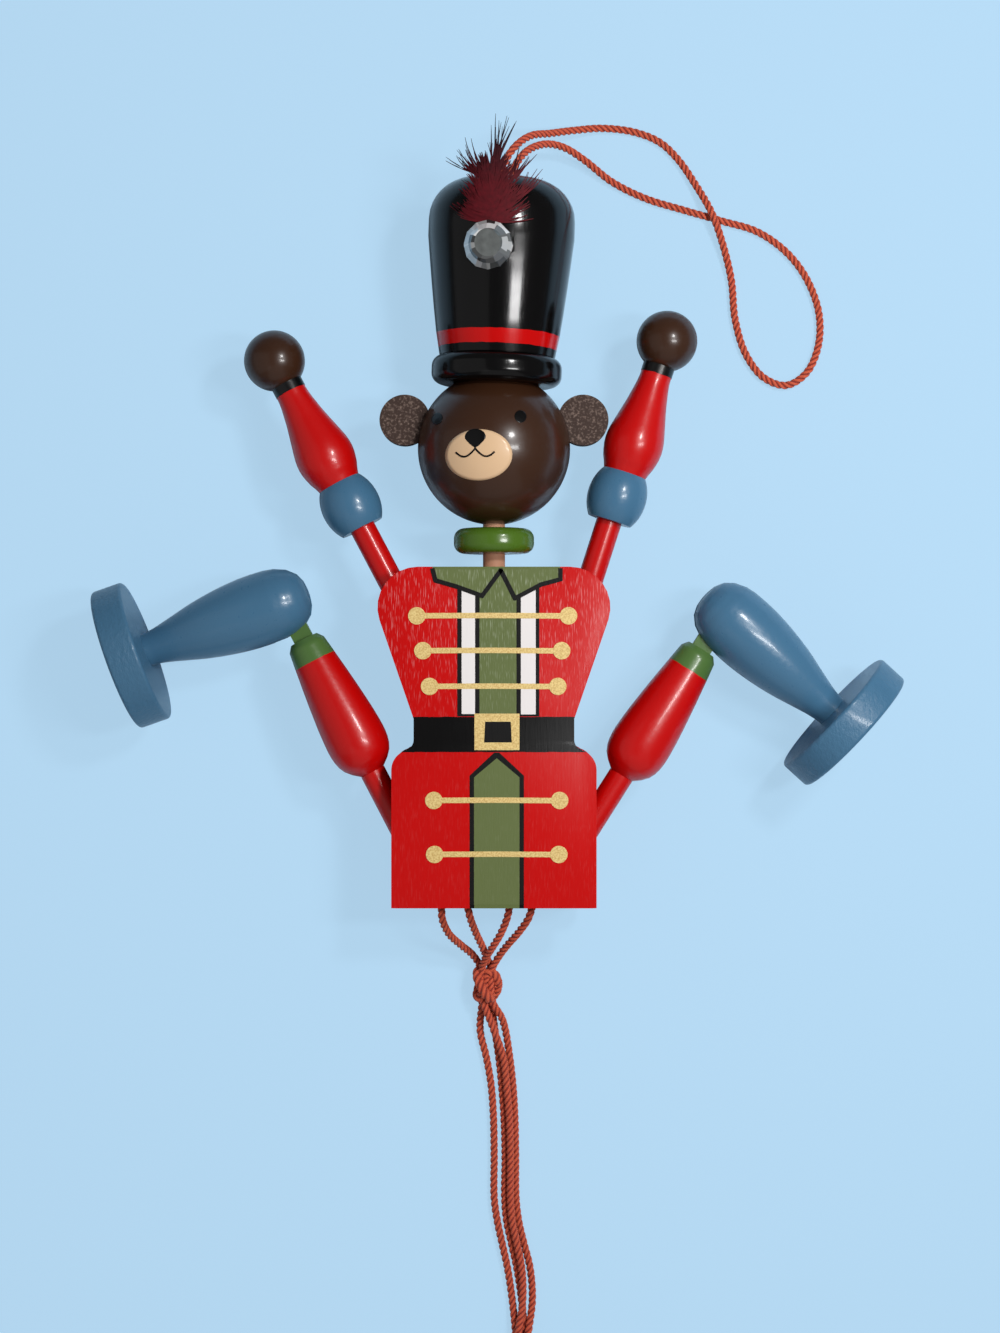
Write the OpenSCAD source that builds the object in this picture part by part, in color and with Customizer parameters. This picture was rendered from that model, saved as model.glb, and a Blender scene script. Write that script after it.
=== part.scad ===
// Pull-string jumping jack: a bear in a soldier's coat, of sawn boards and turned wood.
// It lies on its back on a table at z = 0, with the string pulled. Seen from above, +X is
// to the right and +Y runs up to the hat. The origin is on the table, below the chin.

/* [Body] */
// Thickness of the front board and of the back board
board_t = 5; // [4:0.5:7]
// Free height between the two boards, in which the limbs' rods swing
board_gap = 7.6; // [7.4:0.1:9]
// Half width of the body at the shoulders
shoulder_half = 28.7; // [27:0.1:31]
// Radius of the round shoulders
shoulder_r = 10; // [8:0.5:12]
// Half width of the body at the belt
waist_half = 19.8; // [18:0.1:21]
// Half width of the body below the belt
hip_half = 25.3; // [24:0.1:27]
// Radius of the corners below the belt
hip_r = 5; // [4:0.5:6]
// Length of the body from the shoulders to the top of the belt
chest_len = 37.5; // [36:0.5:40]
// Length of the straight waist, which the belt is painted on
belt_len = 5.2; // [4:0.1:7]
// Length of the body from the straight waist to its lower edge
skirt_len = 41.5; // [40:0.5:45]

/* [Head] */
// Diameter of the head ball
head_d = 38; // [36:0.5:40]
// Diameter of the neck dowel
neck_d = 5.5; // [4:0.1:6]
// Bare length of the neck between the head and the body
neck_len = 10.75; // [9:0.25:14]
// Diameter of the collar bead on the neck
collar_d = 20; // [16:0.5:24]
// Height of the collar bead
collar_h = 6.2; // [4:0.1:7]
// Diameter of the flat round ears
ear_d = 12.6; // [10:0.1:14]
// Thickness of the ears
ear_t = 4; // [2:0.5:6]

/* [Hat] */
// Height of the hat from the brim to the top
hat_h = 51; // [45:0.5:58]
// Diameter of the brim
brim_d = 32.5; // [30:0.5:36]
// Height of the brim
brim_h = 7; // [5:0.5:9]
// Diameter of the hat just above the brim
hat_base_d = 28.8; // [27:0.1:30]
// Largest diameter of the hat, near its top
hat_top_d = 36.5; // [34:0.5:39]
// Lean of the hat to the right
hat_lean = 2; // [0:0.5:4]
// Diameter of the cut stone on the front of the hat
stone_d = 12; // [8:0.5:14]
// Thickness of the stone
stone_t = 4.6; // [3:0.1:6]
// Length of the feather above the stone
feather_len = 25.5; // [18:0.5:30]
// Width of the feather
feather_w = 20; // [14:0.5:22]

/* [Arms] */
// Diameter of the rods that carry the arms and legs in the body
rod_d = 6.4; // [5:0.1:6.6]
// Length from the shoulder pin to the centre of the hand
arm_len = 72.4; // [68:0.2:78]
// Diameter of the round hands
hand_d = 15.2; // [13:0.2:17]
// Diameter of the elbow beads
elbow_d = 14.8; // [12:0.2:16]
// Length of the elbow beads
elbow_len = 12.5; // [10:0.5:13]
// Largest diameter of the sleeves
sleeve_d = 14.6; // [12:0.2:15.4]
// Length of the sleeves, from the elbow bead to the hand
sleeve_len = 28.2; // [25:0.2:31]
// Lean of the left arm from upright, with the string pulled
left_arm_lean = 27.8; // [24:0.2:34]
// Lean of the right arm from upright, with the string pulled
right_arm_lean = 17.8; // [17.6:0.2:30]

/* [Legs] */
// Length from the hip pin to the knee pin
thigh_len = 68; // [66:0.5:75]
// Largest diameter of the thighs
thigh_d = 15.2; // [12:0.2:16]
// Length from the knee pin to the foot
shin_len = 36.5; // [34:0.5:40]
// Largest diameter of the shins
shin_d = 18.2; // [16:0.2:19]
// Diameter of the round feet
foot_d = 36; // [32:0.5:36.5]
// Thickness of the feet
foot_t = 8; // [5:0.5:10]
// Lean of the left thigh from upright, with the string pulled
left_leg_lean = 27.5; // [26:0.1:34]
// Lean of the right thigh from upright, with the string pulled
right_leg_lean = 32.4; // [27:0.1:36]
// Turn of the left shin below the line to the left
left_shin_dip = 19.5; // [10:0.5:30]
// Turn of the right shin below the line to the right
right_shin_dip = 42.5; // [20:0.5:46]

/* [Pins] */
// Diameter of the four limb pins between the boards
pin_d = 3; // [2:0.1:3.4]
// Diameter of the two knee pins
knee_pin_d = 2; // [1.6:0.1:2.6]
// Thickness of the thighs' tongues, which turn in the shins
tongue_t = 3; // [2:0.1:4]
// Width of the tongues
tongue_w = 5; // [4:0.1:5.6]

/* [Cord] */
// Diameter of the hanging cord and the pull cords
cord_d = 2; // [1.6:0.1:2.2]
// Diameter of the big knot in the pull cords
knot_d = 8.4; // [8:0.1:9]
// Length of the big knot
knot_len = 9.4; // [8:0.1:11]

/* [Hidden] */

// Fineness of round shapes, and of the arcs in the outlines
$fn = 64;
arc_steps = 8;
// Overrun of every cut past the face it opens
over = 1;
// Clearance round glued pegs and pins, and round pins that something turns on
glue_clear = 0.03;
run_clear = 0.1;
// Side clearance of the tongues in their slots
slot_clear = 0.2;

// Heights above the table: of the limbs, of the neck and of the gap between the boards
rod_play = 0.4;
limb_z = foot_d / 2;
neck_z = head_d / 2;
gap_z = limb_z - rod_d / 2 - rod_play;

// Body: the y of its upper edge, and then down
chin_to_body = 12;
body_top = -chin_to_body;
belt_top = body_top - chest_len;
belt_low = belt_top - belt_len;
body_low = belt_low - skirt_len;
waist_fillet_r = 2.5;
hip_tuck = 0.1;
hip_corner_y = belt_low - waist_fillet_r - hip_r + hip_tuck;
taper_turn = atan2(shoulder_half - waist_half, chest_len - shoulder_r);
block_w = 19;
block_len = 13;
middle_w = 9;
middle_len = 11;
middle_drop = 34;
neck_socket = 11;

// Head and what is on it
head_y = body_top + neck_len + head_d / 2;
neck_in_head = 9;
collar_lift = 6.7;
collar_y = body_top + collar_lift;
collar_edge_r = 2.4;
ear_out = 22.2;
ear_up = 7;

// Hat, along its own axis from the head's centre
hat_seat = 15.8;
hat_bulge_share = 0.72;
hat_round_r = 10;
brim_edge_r = 2.6;
hat_flare = 0.8;
cord_bore_d = 2.7 * cord_d;
cord_bore_len = 4;
stone_up = 32.2;
stone_turn = 9.8;
stone_table_share = 0.62;
stone_sides = 12;
stone_rim_share = 0.3;
stone_sink = 0.9;
feather_t = 0.9;
feather_lift = 0.06;
feather_clear = 0.6;
feather_turn = 5;

// Limbs, along their own axis from the pin
pivot_half = 21.1;
shoulder_drop = 12.25;
hip_rise = 15.6;
tail_len = 8.6;
string_at = 6;
string_bore_d = 1.2 * cord_d;
cuff_d = 8;
cuff_len = 2.3;
peg_d = 4;
peg_len = 6;
hand_neck = sqrt(pow(hand_d / 2, 2) - pow(cuff_d / 2, 2));
sleeve_body = sleeve_len - cuff_len;
elbow_low = arm_len - hand_neck - cuff_len - sleeve_body - elbow_len;
elbow_face_share = 0.74;
rod_reach = 7;
thigh_start = 20;
thigh_tip_gap = 10.8;
knee_pin_depth = 5.4;
knee_pin_rise = 8;
shin_back = 6.5;
shin_end_d = 8.2;
shin_slot_reach = 5.5;
shin_widest = 4.6;
foot_peg_d = 5;
foot_peg_len = 5;
foot_edge_r = 0.9;
blind_wall = 1.5;

// Cord routes, as x, y and z along the middle of the cord
HANGING = [
    [1.3, 82.4, 19], [1.7, 86.2, 19], [2.9, 89.8, 18.6], [5.4, 93.6, 17.4], [9.2, 96.9, 14], [14.4, 98.6, 9],
    [20.4, 100.2, 5], [28, 101.4, 1.9], [36, 100.6, 1.1], [42.5, 98, 1.1], [47.2, 93.6, 1.1],
    [51.4, 87.4, 1.7], [55.6, 79.6, 3.5], [58.6, 71.6, 2.3], [60.9, 62.6, 1.1], [61.9, 52.4, 1.1],
    [64.6, 43.6, 1.1], [69.2, 37.6, 1.1], [75, 35.6, 1.1], [80.2, 38.8, 1.1], [83.2, 45.6, 1.1],
    [83.4, 54, 1.1], [80.4, 62.6, 1.1], [75.2, 69.6, 1.1], [67.6, 75, 1.1], [58.4, 77.8, 1.1],
    [48.6, 80.6, 1.1], [38.8, 83.6, 1.1], [30.2, 87.8, 1.4], [23.2, 92.8, 3.6], [18, 95.4, 6.6],
    [13.4, 95.6, 10.4], [9, 93.4, 14.8], [6.4, 90.4, 17.6], [4.6, 87, 18.8], [3.4, 82.6, 19]
];
PULL_A = [
    [-13.1, -96.6, 18], [-13, -99.6, 17.4], [-11.4, -103.8, 14], [-8.4, -107.2, 9.4],
    [-5.4, -110.2, 5.6], [-3.6, -113.4, 3.6], [-3.1, -117.8, 3.3], [-3.1, -122.4, 3],
    [-3.6, -130, 1.1], [-2, -137, 1.1], [-0.8, -144, 1.1], [-0.2, -152, 1.1], [0, -162, 1.1],
    [0, -173, 1.1], [0.8, -179, 1.1], [2, -184.6, 1.1], [3.4, -191, 1.1], [4.6, -199, 1.1],
    [5.4, -206.4, 2.2], [5.6, -212.6, 2.4]
];
PULL_B = [
    [-6.6, -96.6, 18], [-6, -99.4, 17.4], [-4.6, -103.6, 14], [-3, -107.4, 10.8],
    [-1.9, -110.6, 7], [-1.1, -113.4, 4.2], [-0.9, -117.8, 3.3], [-0.7, -122.4, 3],
    [0.2, -130, 1.1], [1.2, -137, 1.1], [1.9, -144, 1.1], [2.5, -152, 1.1], [2.8, -162, 1.1],
    [2.7, -173, 1.1], [3.2, -179, 1.1], [4.4, -184.6, 1.1], [5.8, -191, 1.1], [7, -199, 1.1],
    [7.7, -206.4, 2.2], [7.8, -212.6, 2.4]
];
PULL_C = [
    [3.9, -96.6, 18], [3.3, -99.4, 17.5], [1.7, -103.6, 15.4], [-0.4, -107.4, 12.6],
    [-2.2, -110.6, 9], [-3.1, -113.6, 6.2], [-3.1, -117.8, 5.5], [-2.6, -122.4, 5.3],
    [-0.4, -128.6, 4.6], [2.4, -137, 3], [3.2, -144, 2.9], [3.9, -152, 2.9], [4.2, -162, 2.9],
    [4.2, -173, 2.9], [4.7, -179, 2.9], [5.9, -184.6, 2.9], [7.1, -191, 3], [7.3, -199, 3.2],
    [6.2, -206.4, 4.4], [5.6, -212.6, 4.7]
];
PULL_D = [
    [9.6, -96.6, 18], [8.6, -99.6, 17.4], [6.2, -103.4, 14.6], [3.4, -107, 11],
    [1.1, -110.4, 8], [-0.5, -113.6, 6.3], [-0.9, -117.8, 5.5], [-0.3, -122.4, 5.1],
    [1.8, -126.2, 3.6], [2.9, -130, 1.8], [4, -137, 1.1], [4.8, -144, 1.1], [5.3, -152, 1.1], [5.5, -162, 1.1],
    [5.6, -173, 1.1], [6.3, -179, 1.1], [7.6, -184.6, 1.1], [9.2, -191, 1.1], [9.8, -199, 1.4],
    [8.8, -206.4, 4], [7.8, -212.6, 4.7]
];
LEFT_ARM_STRING = [[-14.4, -27.7, 18], [-12.6, -29.4, 18], [-12, -33, 18], [-11.4, -46, 18],
    [-10.9, -60, 18], [-10.4, -75, 18], [-8.8, -88, 18], [-6.6, -96.3, 18]];
RIGHT_ARM_STRING = [[15.2, -28.7, 18], [13.2, -30.2, 18], [12.4, -33.5, 18], [11.8, -46, 18],
    [11, -60, 18], [10, -75, 18], [7, -88, 18], [3.9, -96.3, 18]];
LEFT_LEG_STRING = [[-14.9, -84.1, 18], [-13.4, -85.9, 18], [-13.1, -90, 18], [-13.1, -96.3, 18]];
RIGHT_LEG_STRING = [[14.7, -83.6, 18], [12.5, -85.1, 18], [11.1, -89, 18], [9.6, -96.3, 18]];
string_stop_d = 4;
string_stop_out = 5;
STOP_SHARES = [[-1, 0.3], [-0.75, 0.74], [-0.25, 1], [0.3, 0.98], [0.8, 0.72], [1, 0.5]];
string_sides = 8;
knot_at = [-2, -117.8, 4.5];
end_knot_at = [6.7, -213, 3.7];
end_knot_d = 7;
end_knot_len = 8;
knot_swell_share = 0.72;

// Points of an arc from one angle to another
function arc(x, y, r, from, to, steps = arc_steps) =
    [for (i = [0:steps]) let (a = from + (to - from) * i / steps) [x + r * cos(a), y + r * sin(a)]];

// The right half of the body's outline, from the middle of its top to the middle of its foot
function body_half() = concat(
    arc(shoulder_half - shoulder_r, body_top - shoulder_r, shoulder_r, 90, -taper_turn),
    [[waist_half, belt_top]],
    arc(waist_half + waist_fillet_r, belt_low, waist_fillet_r, 180, 250),
    arc(hip_half - hip_r, hip_corner_y, hip_r, 72, 0),
    [[hip_half, body_low + glue_clear], [hip_half - over, body_low]]
);

// Mirrors a half outline to the left and joins the two halves
function both_sides(half) = concat(half, [for (i = [len(half) - 1:-1:0]) [-half[i][0], half[i][1]]]);

// Unit vector along v
function unit(v) = v / norm(v);

// Direction of a route at point i
function along(p, i) = unit(p[min(i + 1, len(p) - 1)] - p[max(i - 1, 0)]);

// Place of a limb pin: side is -1 at the left and 1 at the right
function shoulder_at(side) = [side * pivot_half, body_top - shoulder_drop, limb_z];
function hip_at(side) = [side * pivot_half, body_low + hip_rise, limb_z];
function knee_at(side, lean) = hip_at(side) + thigh_len * [side * sin(lean), cos(lean), 0];
function arm_lean(side) = side < 0 ? left_arm_lean : right_arm_lean;
function leg_lean(side) = side < 0 ? left_leg_lean : right_leg_lean;
function shin_dip(side) = side < 0 ? left_shin_dip : right_shin_dip;

// Radius of a turned limb, eased between stations of [place, radius]
function eased(s, t) = let (n = [for (i = [0:len(s) - 2]) if (t >= s[i][0]) i], i = n[len(n) - 1],
    u = (t - s[i][0]) / (s[i + 1][0] - s[i][0]),
    low = slope(s, i), high = slope(s, i + 1), w = s[i + 1][0] - s[i][0])
    (2 * u * u * u - 3 * u * u + 1) * s[i][1] + (u * u * u - 2 * u * u + u) * w * low
    + (3 * u * u - 2 * u * u * u) * s[i + 1][1] + (u * u * u - u * u) * w * high;
function slope(s, i) = i == 0 || i == len(s) - 1 ? 0 :
    (s[i + 1][1] - s[i - 1][1]) / (s[i + 1][0] - s[i - 1][0]);
function turned(s, steps) = [for (i = [0:steps])
    let (t = s[0][0] + (s[len(s) - 1][0] - s[0][0]) * i / steps) [eased(s, t), t]];

// Stations of the sleeve, from the elbow bead to the cuff
SLEEVE_SHARES = [[0, 0.74], [0.1, 0.88], [0.24, 1], [0.36, 0.99], [0.54, 0.84], [0.75, 0.66], [1, 0.53]];
// Stations of the thigh, from its rod to its tip
THIGH_SHARES = [[0, 0.4], [0.035, 0.62], [0.1, 0.88], [0.2, 1], [0.34, 0.99], [0.5, 0.92],
    [0.66, 0.83], [0.8, 0.74], [0.92, 0.66], [0.98, 0.6], [1, 0.48]];
// Stations of the shin, from the centre of its round knee end to the foot
SHIN_SHARES = [[0, 1], [0.17, 0.99], [0.36, 0.92], [0.55, 0.8], [0.73, 0.64], [0.89, 0.5], [1, 0.45]];
SHIN_CAP_SHARES = [[0, 0.2], [0.03, 0.4], [0.12, 0.62], [0.3, 0.81], [0.56, 0.94], [0.8, 0.99]];

// Stands a shape turned about z along the direction that leans from +Y to one side
module lean_along(lean, side) {
    rotate([0, 0, -side * lean]) rotate([-90, 0, 0]) children();
}

// Lays a limb out from its pin
module on_arm(side) {
    translate(shoulder_at(side)) lean_along(arm_lean(side), side) children();
}
module on_leg(side) {
    translate(hip_at(side)) lean_along(leg_lean(side), side) children();
}
module on_shin(side) {
    translate(knee_at(side, leg_lean(side))) lean_along(90 + shin_dip(side), side) children();
}

// A solid turned from an outline of [radius, place] points, closed along its axis
module turned_solid(points) {
    first = points[0];
    last = points[len(points) - 1];
    rotate_extrude() polygon(concat([[0, first[1]]], points, [[0, last[1]]]));
}

// A round tube swept along a route, its two ends flat; widths gives its diameter at each point
module tube(route, widths = [], sides = string_sides) {
    n = len(route);
    rings = [for (i = [0:n - 1]) let (t = along(route, i), across = unit(cross(t, [0, 0, 1])),
        up = cross(across, t)) for (k = [0:sides - 1]) let (a = 360 * (k + 0.5) / sides)
        route[i] + (len(widths) == n ? widths[i] : cord_d) / 2 * (cos(a) * across + sin(a) * up)];
    walls = [for (i = [0:n - 2]) for (k = [0:sides - 1]) let (j = (k + 1) % sides)
        each [[i * sides + k, i * sides + j, (i + 1) * sides + k],
            [i * sides + j, (i + 1) * sides + j, (i + 1) * sides + k]]];
    caps = [for (k = [1:sides - 2]) each [[0, k + 1, k],
        [(n - 1) * sides, (n - 1) * sides + k, (n - 1) * sides + k + 1]]];
    polyhedron(rings, concat(walls, caps));
}

// One board of the body, from low up
module board(low) {
    translate([0, 0, low]) linear_extrude(board_t) polygon(both_sides(body_half()));
}

// The four places where a limb turns between the boards
module at_pins() {
    for (side = [-1, 1]) {
        translate(shoulder_at(side) - [0, 0, limb_z]) children();
        translate(hip_at(side) - [0, 0, limb_z]) children();
    }
}

module limb_pin() {
    low = gap_z - board_t;
    translate([0, 0, low]) cylinder(d = pin_d, h = board_t + board_gap + board_t - blind_wall);
}

module front_board() {
    low = gap_z + board_gap;
    color("firebrick") difference() {
        board(low);
        at_pins() translate([0, 0, low - over])
            cylinder(d = pin_d + 2 * glue_clear, h = over + board_t - blind_wall + glue_clear);
    }
}

module back_board() {
    low = gap_z - board_t;
    color("firebrick") difference() {
        board(low);
        at_pins() translate([0, 0, low - over])
            cylinder(d = pin_d + 2 * glue_clear, h = over + board_t + over);
    }
}

module neck_block() {
    color("burlywood") difference() {
        translate([-block_w / 2, body_top - block_len, gap_z]) cube([block_w, block_len, board_gap]);
        translate([0, body_top - neck_socket - glue_clear, neck_z]) rotate([-90, 0, 0])
            cylinder(d = neck_d + 2 * glue_clear, h = neck_socket + over);
    }
}

module middle_block() {
    color("burlywood") translate([-middle_w / 2, body_top - middle_drop - middle_len, gap_z])
        cube([middle_w, middle_len, board_gap]);
}

module shoulder_pin(side) {
    color("tan") translate(shoulder_at(side) - [0, 0, limb_z]) limb_pin();
}

module hip_pin(side) {
    color("tan") translate(hip_at(side) - [0, 0, limb_z]) limb_pin();
}

module neck_dowel() {
    low = body_top - neck_socket;
    color("rosybrown") translate([0, low, neck_z]) rotate([-90, 0, 0])
        cylinder(d = neck_d, h = neck_socket + neck_len + neck_in_head);
}

module collar_bead() {
    r = collar_d / 2;
    e = collar_edge_r;
    color("olivedrab") translate([0, collar_y, neck_z]) rotate([-90, 0, 0]) difference() {
        turned_solid(concat(arc(r - e, -collar_h / 2 + e, e, -90, 0), arc(r - e, collar_h / 2 - e, e, 0, 90)));
        translate([0, 0, -collar_h]) cylinder(d = neck_d + 2 * glue_clear, h = 2 * collar_h);
    }
}

module at_head() {
    translate([0, head_y, neck_z]) children();
}

module head() {
    color("saddlebrown") at_head() difference() {
        sphere(d = head_d);
        rotate([90, 0, 0]) translate([0, 0, head_d / 2 - neck_in_head - glue_clear])
            cylinder(d = neck_d + 2 * glue_clear, h = neck_in_head + over);
    }
}

module ear(side) {
    color("saddlebrown") at_head() difference() {
        translate([side * ear_out, ear_up, -ear_t / 2]) cylinder(d = ear_d, h = ear_t);
        sphere(d = head_d + 2 * glue_clear);
    }
}

// Outline of the hat as [radius, height]: the rounded brim, the flaring crown and its round top
function hat_outline() = let (low = hat_seat, high = hat_seat + hat_h, e = brim_edge_r,
    base = hat_base_d / 2, wide = hat_top_d / 2, bulge = low + hat_bulge_share * hat_h) concat(
    arc(brim_d / 2 - e, low + e, e, -90, 0),
    arc(brim_d / 2 - e, low + brim_h - e, e, 0, 90),
    [[base, low + brim_h]],
    [for (u = [0.2:0.2:0.8]) [base + (wide - base) * pow(u, hat_flare), low + brim_h
        + (bulge - low - brim_h) * u]],
    [[wide, bulge], [wide, high - hat_round_r]],
    arc(wide - hat_round_r, high - hat_round_r, hat_round_r, 12, 90)
);

module on_hat() {
    at_head() lean_along(hat_lean, 1) children();
}

module hat() {
    color("black") on_hat() difference() {
        turned_solid(hat_outline());
        sphere(d = head_d + 2 * glue_clear);
        translate([0, 0, hat_seat + hat_h - cord_bore_len])
            cylinder(d = cord_bore_d, h = cord_bore_len + over);
        on_stone_seat() translate([0, 0, -glue_clear])
            cylinder(d = stone_d + 4 * glue_clear, h = stone_t, $fn = stone_sides);
    }
}

// Radius of the crown at a height above the brim's lower face
function crown_r(up) = let (u = (up - brim_h) / (hat_bulge_share * hat_h - brim_h))
    hat_base_d / 2 + (hat_top_d - hat_base_d) / 2 * pow(u, hat_flare);

// Lays a shape about z on the seat of the stone, a little sunk in the front of the crown
module on_stone_seat() {
    slant = atan2(crown_r(stone_up + stone_d / 2) - crown_r(stone_up - stone_d / 2), stone_d);
    rotate([0, 0, -stone_turn]) translate([0, stone_sink - crown_r(stone_up), hat_seat + stone_up])
        rotate([90 + slant, 0, 0]) children();
}

module cut_stone() {
    rim = stone_rim_share * stone_t;
    color("white") on_hat() on_stone_seat() {
        cylinder(d = stone_d, h = rim, $fn = stone_sides);
        translate([0, 0, rim]) cylinder(d1 = stone_d, d2 = stone_table_share * stone_d,
            h = stone_t - rim, $fn = stone_sides);
    }
}

// A leaf-shaped piece of a round shell, on the front of the crown
module feather() {
    r = hat_top_d / 2 + feather_lift;
    root = hat_seat + stone_up + stone_d / 2 + feather_clear;
    tip = root + feather_len;
    half = feather_w / 2;
    leaf = [for (u = [0:0.1:1]) [half * pow(sin(180 * pow(u, 0.75)), 0.8) + (1 - u) * half / 4, u]];
    color("maroon") on_hat() rotate([0, 0, -feather_turn]) intersection() {
        difference() {
            cylinder(r = r + feather_t, h = tip + over);
            translate([0, 0, -over]) cylinder(r = r, h = tip + 3 * over);
        }
        rotate([90, 0, 0]) linear_extrude(2 * r) polygon(concat(
            [for (p = leaf) [p[0], root + feather_len * p[1]]],
            [for (i = [len(leaf) - 1:-1:0]) [-leaf[i][0], root + feather_len * leaf[i][1]]]));
    }
}

// Rod of an arm, with the cross bore for its pin and the one for its string
module limb_bores() {
    rotate([90, 0, 0]) translate([0, 0, -rod_d]) cylinder(d = pin_d + 2 * run_clear, h = 2 * rod_d);
    translate([-rod_d, 0, -string_at]) rotate([0, 90, 0]) cylinder(d = string_bore_d, h = 2 * rod_d);
}

module arm_rod(side) {
    color("red") on_arm(side) difference() {
        translate([0, 0, -tail_len]) cylinder(d = rod_d, h = tail_len + elbow_low + elbow_len + rod_reach);
        limb_bores();
    }
}

module elbow_bead(side) {
    r = elbow_d / 2;
    half = elbow_len / 2;
    squeeze = acos(elbow_face_share);
    color("steelblue") on_arm(side) translate([0, 0, elbow_low + half]) difference() {
        turned_solid([for (a = [-squeeze:squeeze / arc_steps:squeeze + glue_clear])
            [r * cos(a), half * sin(a) / sin(squeeze)]]);
        translate([0, 0, -elbow_len]) cylinder(d = rod_d + 2 * glue_clear, h = 2 * elbow_len);
    }
}

module sleeve(side) {
    low = elbow_low + elbow_len;
    stations = [for (s = SLEEVE_SHARES) [low + s[0] * sleeve_body, s[1] * sleeve_d / 2]];
    on_arm(side) {
        color("red") difference() {
            turned_solid(turned(stations, 18));
            translate([0, 0, low - over]) cylinder(d = rod_d + 2 * glue_clear, h = over + rod_reach + glue_clear);
        }
        color("black") translate([0, 0, low + sleeve_body]) cylinder(d = cuff_d, h = cuff_len);
        color("black") translate([0, 0, low + sleeve_len]) cylinder(d = peg_d, h = peg_len);
    }
}

module hand(side) {
    color("saddlebrown") on_arm(side) translate([0, 0, arm_len]) difference() {
        sphere(d = hand_d);
        translate([0, 0, -hand_d]) cylinder(d = hand_d, h = hand_d - hand_neck);
        translate([0, 0, -hand_d]) cylinder(d = peg_d + 2 * glue_clear, h = hand_d - hand_neck + peg_len + glue_clear);
    }
}

module thigh(side) {
    tip = thigh_len - thigh_tip_gap;
    stations = [for (s = THIGH_SHARES) [thigh_start + s[0] * (tip - thigh_start), s[1] * thigh_d / 2]];
    on_leg(side) {
        color("red") difference() {
            translate([0, 0, -tail_len]) cylinder(d = rod_d, h = tail_len + thigh_start);
            limb_bores();
        }
        color("red") turned_solid(turned(stations, 24));
        color("darkolivegreen") difference() {
            translate([-tongue_w / 2, -tongue_t / 2, tip - over])
                cube([tongue_w, tongue_t, thigh_tip_gap + over]);
            translate([0, 0, thigh_len]) rotate([90, 0, 0]) translate([0, 0, -tongue_t])
                cylinder(d = knee_pin_d + 2 * run_clear, h = 2 * tongue_t);
        }
        color("darkolivegreen") translate([0, 0, thigh_len]) rotate([90, 0, 0]) difference() {
            translate([0, 0, -tongue_t / 2]) cylinder(d = tongue_w, h = tongue_t);
            translate([0, 0, -tongue_t]) cylinder(d = knee_pin_d + 2 * run_clear, h = 2 * tongue_t);
        }
    }
}

module knee_pin(side) {
    color("tan") translate(knee_at(side, leg_lean(side)) - [0, 0, knee_pin_rise])
        cylinder(d = knee_pin_d, h = knee_pin_rise + knee_pin_depth);
}

module shin(side) {
    stations = [for (s = SHIN_SHARES) [shin_widest + s[0] * (shin_len - shin_widest), s[1] * shin_d / 2]];
    cap = [for (s = SHIN_CAP_SHARES) [s[1] * shin_d / 2, -shin_back + s[0] * (shin_widest + shin_back)]];
    slot_t = tongue_t + 2 * slot_clear;
    on_shin(side) color("steelblue") difference() {
        union() {
            turned_solid(concat(cap, turned(stations, 20)));
            translate([0, 0, shin_len - over]) cylinder(d = foot_peg_d, h = over + foot_peg_len);
        }
        translate([-shin_d, -slot_t / 2, -shin_d]) cube([2 * shin_d, slot_t, shin_d + shin_slot_reach]);
        rotate([-90, 0, 0]) translate([0, 0, -knee_pin_depth - glue_clear])
            cylinder(d = knee_pin_d + 2 * glue_clear, h = shin_d);
    }
}

module foot(side) {
    r = foot_d / 2;
    e = foot_edge_r;
    color("steelblue") on_shin(side) translate([0, 0, shin_len]) difference() {
        turned_solid(concat(arc(r - e, e, e, -90, 0), arc(r - e, foot_t - e, e, 0, 90)));
        translate([0, 0, -over]) cylinder(d = foot_peg_d + 2 * glue_clear, h = over + foot_peg_len + glue_clear);
    }
}

// A string inside the body: it starts at its stop on the far side of the rod's tail
module limb_string(route, pin, lean, side) {
    tail = pin - string_at * [side * sin(lean), cos(lean), 0];
    through = unit(route[0] - tail);
    start = tail - string_stop_out * through;
    stop = [for (u = STOP_SHARES) start + u[0] * string_stop_d / 2 * through];
    color("tomato") tube(concat(stop, route), concat([for (u = STOP_SHARES) u[1] * string_stop_d],
        [for (p = route) cord_d]));
}

// A knot: a plump turned form round the cords
module knot(at, d, length) {
    steps = 2 * arc_steps;
    color("tomato") translate(at) rotate([-90, 0, 0])
        turned_solid([for (i = [0:steps]) let (a = -75 + 150 * i / steps)
            [d / 2 * pow(cos(a), knot_swell_share), length / 2 * sin(a) / sin(75)]]);
}

module left_shoulder_pin() { shoulder_pin(-1); }
module right_shoulder_pin() { shoulder_pin(1); }
module left_hip_pin() { hip_pin(-1); }
module right_hip_pin() { hip_pin(1); }
module left_ear() { ear(-1); }
module right_ear() { ear(1); }
module left_arm_rod() { arm_rod(-1); }
module left_elbow_bead() { elbow_bead(-1); }
module left_sleeve() { sleeve(-1); }
module left_hand() { hand(-1); }
module right_arm_rod() { arm_rod(1); }
module right_elbow_bead() { elbow_bead(1); }
module right_sleeve() { sleeve(1); }
module right_hand() { hand(1); }
module left_thigh() { thigh(-1); }
module left_knee_pin() { knee_pin(-1); }
module left_shin() { shin(-1); }
module left_foot() { foot(-1); }
module right_thigh() { thigh(1); }
module right_knee_pin() { knee_pin(1); }
module right_shin() { shin(1); }
module right_foot() { foot(1); }
module left_arm_string() { limb_string(LEFT_ARM_STRING, shoulder_at(-1), left_arm_lean, -1); }
module right_arm_string() { limb_string(RIGHT_ARM_STRING, shoulder_at(1), right_arm_lean, 1); }
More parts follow.
